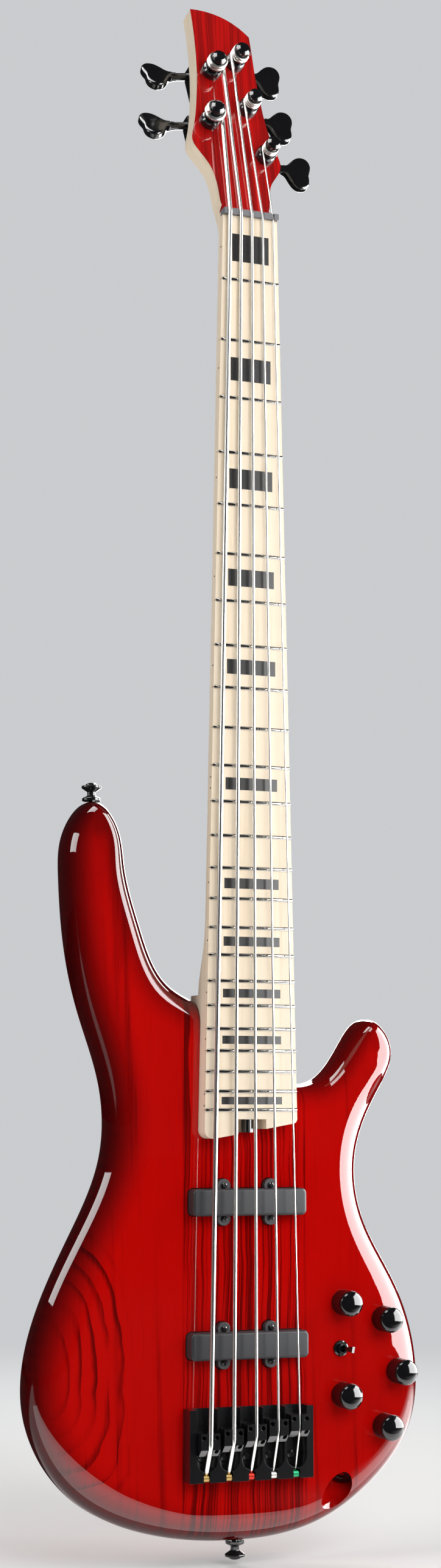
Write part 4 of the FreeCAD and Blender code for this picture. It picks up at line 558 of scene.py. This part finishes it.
def make_body():
    rings = body_rings()
    parts = [(rings, grid_faces(*rings.shape[:2])), flat_face(rings[0]), flat_face(rings[-1])]
    body = new_object("body_look", *joined(parts), smooth_angle=40)
    top = BODY_THICKNESS + CUT_PAST
    cutters = [prism(rounded_outline(NECK_POCKET, POCKET_CORNERS), POCKET_FLOOR, top)]
    for length, up in PICKUPS.values():
        half, wide = length / 2 + PICKUP_GAP, PICKUP_WIDTH / 2 + PICKUP_GAP
        corners = [(-half, up - wide), (-half, up + wide), (half, up + wide), (half, up - wide)]
        cutters.append(prism(rounded_outline(corners, PICKUP_CORNER), POCKET_FLOOR, top))
        for across, offset in EAR_PLACES:
            start = (across, -POCKET_FLOOR, up + offset)
            cutters.append(round_bar(start, FRONT, EAR_RADIUS + PICKUP_GAP, top - POCKET_FLOOR))
    jack = JACK_AXIS / np.linalg.norm(JACK_AXIS)
    scoop = JACK_SCOOP_START + JACK_SCOOP_DEPTH
    cutters.append(round_bar(JACK_MOUTH - jack * JACK_SCOOP_START, jack, JACK_SCOOP_RADIUS, scoop, 96))
    cover = rounded_outline(COVER_CORNERS, COVER_CORNER, COVER_MARGIN)
    cutters.append(prism(cover, -CUT_PAST, COVER_DEPTH))
    for across, up in FERRULES:
        start = (across, CUT_PAST, up)
        cutters.append(round_bar(start, FRONT, FERRULE_RADIUS, FERRULE_DEPTH + CUT_PAST))
    carve(body, cutters)
    shade(body.data, 30)
    points = np.empty(len(body.data.vertices) * 3, np.float32)
    body.data.vertices.foreach_get("co", points)
    places = points.reshape(-1, 3) / MM
    line = closed_spline(BODY_OUTLINE[:, :2], 400)[0]
    distance = edge_distance(places[:, (0, 2)], line)
    layer = body.data.attributes.new("edge_distance", "FLOAT", "POINT")
    layer.data.foreach_set("value", distance.astype(np.float32))
    stands_for(body, "body")


# Knobs and hardware

KNOB_RADIUS = 8.9
KNOB_LIFT = 0.6
KNOB_SKIRT = 14.2
KNOB_TOP = 19.0
KNOB_NECK = KNOB_RADIUS - 0.5
KNURL_COUNT = 44
KNURL_DEPTH = 0.35
KNURL_TWIST = 1.4
SHAFT_RADIUS = 3.0
SHAFT_FOOT = -6.8
HOLLOW_RADIUS = 6.2
HOLLOW_TOP = 4.0


def knurl(profile, angle):
    """Diamond knurling on the skirt: two crossed sets of shallow grooves."""
    height = profile[:, 1, None]
    upright = np.abs(profile[:, 0, None] - KNOB_RADIUS) < 0.01
    skirt = upright & (height > KNOB_LIFT + 1) & (height < KNOB_SKIRT - 0.5)
    left = np.abs(np.sin(KNURL_COUNT / 2 * angle + KNURL_TWIST * height))
    right = np.abs(np.sin(KNURL_COUNT / 2 * angle - KNURL_TWIST * height))
    return np.where(skirt, -KNURL_DEPTH * (1 - np.minimum(left, right)), 0)


def make_knob(number, across, up):
    """A knurled skirt under a smooth dome, hollow below, with its shaft."""
    skirt = [(KNOB_RADIUS, height) for height in np.linspace(KNOB_LIFT + 0.4, KNOB_SKIRT, 24)]
    turn = np.linspace(0, math.pi / 2, 16)
    rise = KNOB_SKIRT + 0.5 + (KNOB_TOP - KNOB_SKIRT) * np.sin(turn)
    dome = np.stack([(KNOB_RADIUS - 0.15) * np.cos(turn), rise], 1)
    shaft = [(0, SHAFT_FOOT), (SHAFT_RADIUS, SHAFT_FOOT), (SHAFT_RADIUS, HOLLOW_TOP)]
    hollow = [(HOLLOW_RADIUS, HOLLOW_TOP), (HOLLOW_RADIUS, KNOB_LIFT), (KNOB_RADIUS - 0.4, KNOB_LIFT)]
    groove = [(KNOB_NECK, KNOB_SKIRT + 0.15), (KNOB_NECK, KNOB_SKIRT + 0.4)]
    profile = shaft + hollow + skirt + groove + dome.tolist()
    points, faces = turned(profile, (across, -BODY_THICKNESS, up), FRONT, 4 * KNURL_COUNT, knurl)
    stands_for(new_object("knob_look_%d" % number, points, faces, 50), "knob_%d" % number)


def make_hardware():
    for number, (across, up) in enumerate(KNOBS, 1):
        make_knob(number, across, up)
    rounded = {
        "bridge_base": 0.6, "nut": 0.35, "neck_pickup_cover": 0.5, "bridge_pickup_cover": 0.5,
        "tuner_housings": 0.8, "tuner_bushings": 0.3, "output_jack": 0.3, "strap_buttons": 0.4,
        "toggle_lever": 0.2, "fingerboard": 0.5, "control_cover": 0.4, "neck_bolt_ferrules": 0.4,
    }
    for number in STRINGS:
        rounded["saddle_%d" % number] = 0.4
        rounded["tuner_post_%d" % number] = 0.25
        rounded["tuner_key_%d" % number] = 0.0
        rounded["string_%d" % number] = 0.0
    rounded["neck"] = 0.0
    for node, edge in rounded.items():
        dressed(node, edge)
    shown = set(rounded) | {"body"} | {"knob_%d" % number for number in STRINGS}
    for node in sorted(set(nodes) - shown):
        nodes[node].data.materials.clear()
        nodes[node].data.materials.append(MATERIALS[slot_of[node]])


# Stage, light and camera

FLOOR_DROP = 4.0
STAGE_REACH = 15000.0
STAGE_COLOUR = (0.80, 0.80, 0.79)
STAGE_MIRRORED = (0.02, 0.02, 0.02)
STAGE_GLOW = (4.2, 4.2, 4.2)
BLACK = (0.0, 0.0, 0.0)
SKY = (0.95, 0.97, 1.0)
WORLD_LIGHT = 0.12
WORLD_MIRRORED = 0.02
WORLD_SEEN = 0.62

# Panels in metres: name, place, target, size and power; windows show in gloss only
FILLS = [
    ("right_fill", (2.2, -0.7, 1.3), (0.0, -0.05, 0.4), (1.4, 1.4), 30),
    ("front_key", (0.3, -2.3, 1.4), (0.0, -0.03, 0.3), (1.6, 1.6), 42),
    ("left_fill", (-2.2, -0.3, 1.3), (0.0, -0.05, 0.4), (1.0, 1.4), 24),
    ("back_fill", (0.3, 2.3, 1.4), (0.0, 0.0, 0.3), (1.6, 1.6), 46),
]
WINDOWS = [
    ("right_window", (1.02, -0.57, 0.3), (0.0, -0.41, 0.3), (1.9, 1.8), 165),
    ("left_window", (-1.3, 0.12, 0.8), (-0.12, -0.02, 0.14), (0.8, 0.4), 9),
    ("top_window", (-0.45, -0.15, 1.35), (0.05, -0.03, 0.25), (0.9, 0.5), 14),
    ("back_window", (0.75, 1.5, 0.75), (0.0, 0.0, 0.25), (0.5, 1.6), 24),
    ("floor_window", (0.0, -0.11, -0.09), (0.0, -0.11, 1.0), (1.2, 0.14), 0.9),
]

CAMERA_PLACE = (-0.6353, -1.6355, 0.2125)
CAMERA_TURN = (97.77, 0.02, -21.145)
CAMERA_LENS = 55.68
CAMERA_SENSOR = 36.0


def light_path(paint, kind):
    return paint.node("LightPath", output=kind)


def stage_material():
    """Pale beside the part, fading into the background; dark in the gloss, with a soft bright patch."""
    material, paint, shader = new_material("stage", STAGE_COLOUR, roughness=0.9, specular_ior_level=0.0,
                                           emission_strength=1.0)
    across, depth, _ = place_mm(paint)
    mirrored = light_path(paint, "Is Glossy Ray")
    dark = mirrored * abs(depth).ease(110, 190)
    patch = across.ease(80, 420) * (1 - across.ease(650, 1100)) * (1 - abs(depth).ease(60, 420))
    far = ((across ** 2 + depth ** 2) ** 0.5).ease(350, 1700)
    fade = light_path(paint, "Is Camera Ray") * far
    background = [WORLD_SEEN * part for part in SKY]
    glow = (mirrored * patch).blend(BLACK, STAGE_GLOW)
    connect(shader, "Base Color", fade.blend(dark.blend(STAGE_COLOUR, STAGE_MIRRORED), BLACK))
    connect(shader, "Emission Color", fade.blend(glow, background))
    return material


def make_stage():
    """A wide flat floor just under the part."""
    floor = cad_low.z / MM - FLOOR_DROP
    corners = [(-1, -1), (1, -1), (1, 1), (-1, 1)]
    points = [(STAGE_REACH * across, STAGE_REACH * depth, floor) for across, depth in corners]
    stage = new_object("stage", points, [[0, 1, 2, 3]])
    stage.data.materials.append(stage_material())


def area_light(name, place, target, size, power, mirrored_only):
    """A soft panel; one that is mirrored only shows in gloss and leaves the colours alone."""
    lamp = bpy.data.lights.new(name, "AREA")
    lamp.shape = "RECTANGLE"
    lamp.size, lamp.size_y = size
    lamp.energy = power
    made = bpy.data.objects.new(name, lamp)
    made.location = place
    made.rotation_euler = (Vector(target) - Vector(place)).to_track_quat("-Z", "Y").to_euler()
    made.visible_diffuse = not mirrored_only
    made.visible_glossy = mirrored_only
    made.visible_camera = False
    scene.collection.objects.link(made)


def make_light():
    world = bpy.data.worlds.new("studio")
    scene.world = world
    world.use_nodes = True
    sky = world.node_tree.nodes["Background"]
    sky.inputs["Color"].default_value = (*SKY, 1.0)
    paint = Paint(world.node_tree)
    mirrored = light_path(paint, "Is Glossy Ray") * (WORLD_MIRRORED - WORLD_LIGHT)
    seen = light_path(paint, "Is Camera Ray") * (WORLD_SEEN - WORLD_LIGHT)
    connect(sky, "Strength", WORLD_LIGHT + mirrored + seen)
    for panel in FILLS:
        area_light(*panel, mirrored_only=False)
    for panel in WINDOWS:
        area_light(*panel, mirrored_only=True)


def make_camera():
    """The photograph's view, from a pinhole fit to the frets."""
    camera = bpy.data.cameras.new("photo_view")
    camera.sensor_width = CAMERA_SENSOR
    camera.lens = CAMERA_LENS
    made = bpy.data.objects.new("photo_view", camera)
    made.location = CAMERA_PLACE
    made.rotation_euler = [math.radians(angle) for angle in CAMERA_TURN]
    scene.collection.objects.link(made)
    scene.camera = made


make_body()
make_hardware()
make_stage()
make_light()
make_camera()
scene.view_settings.view_transform = "Standard"
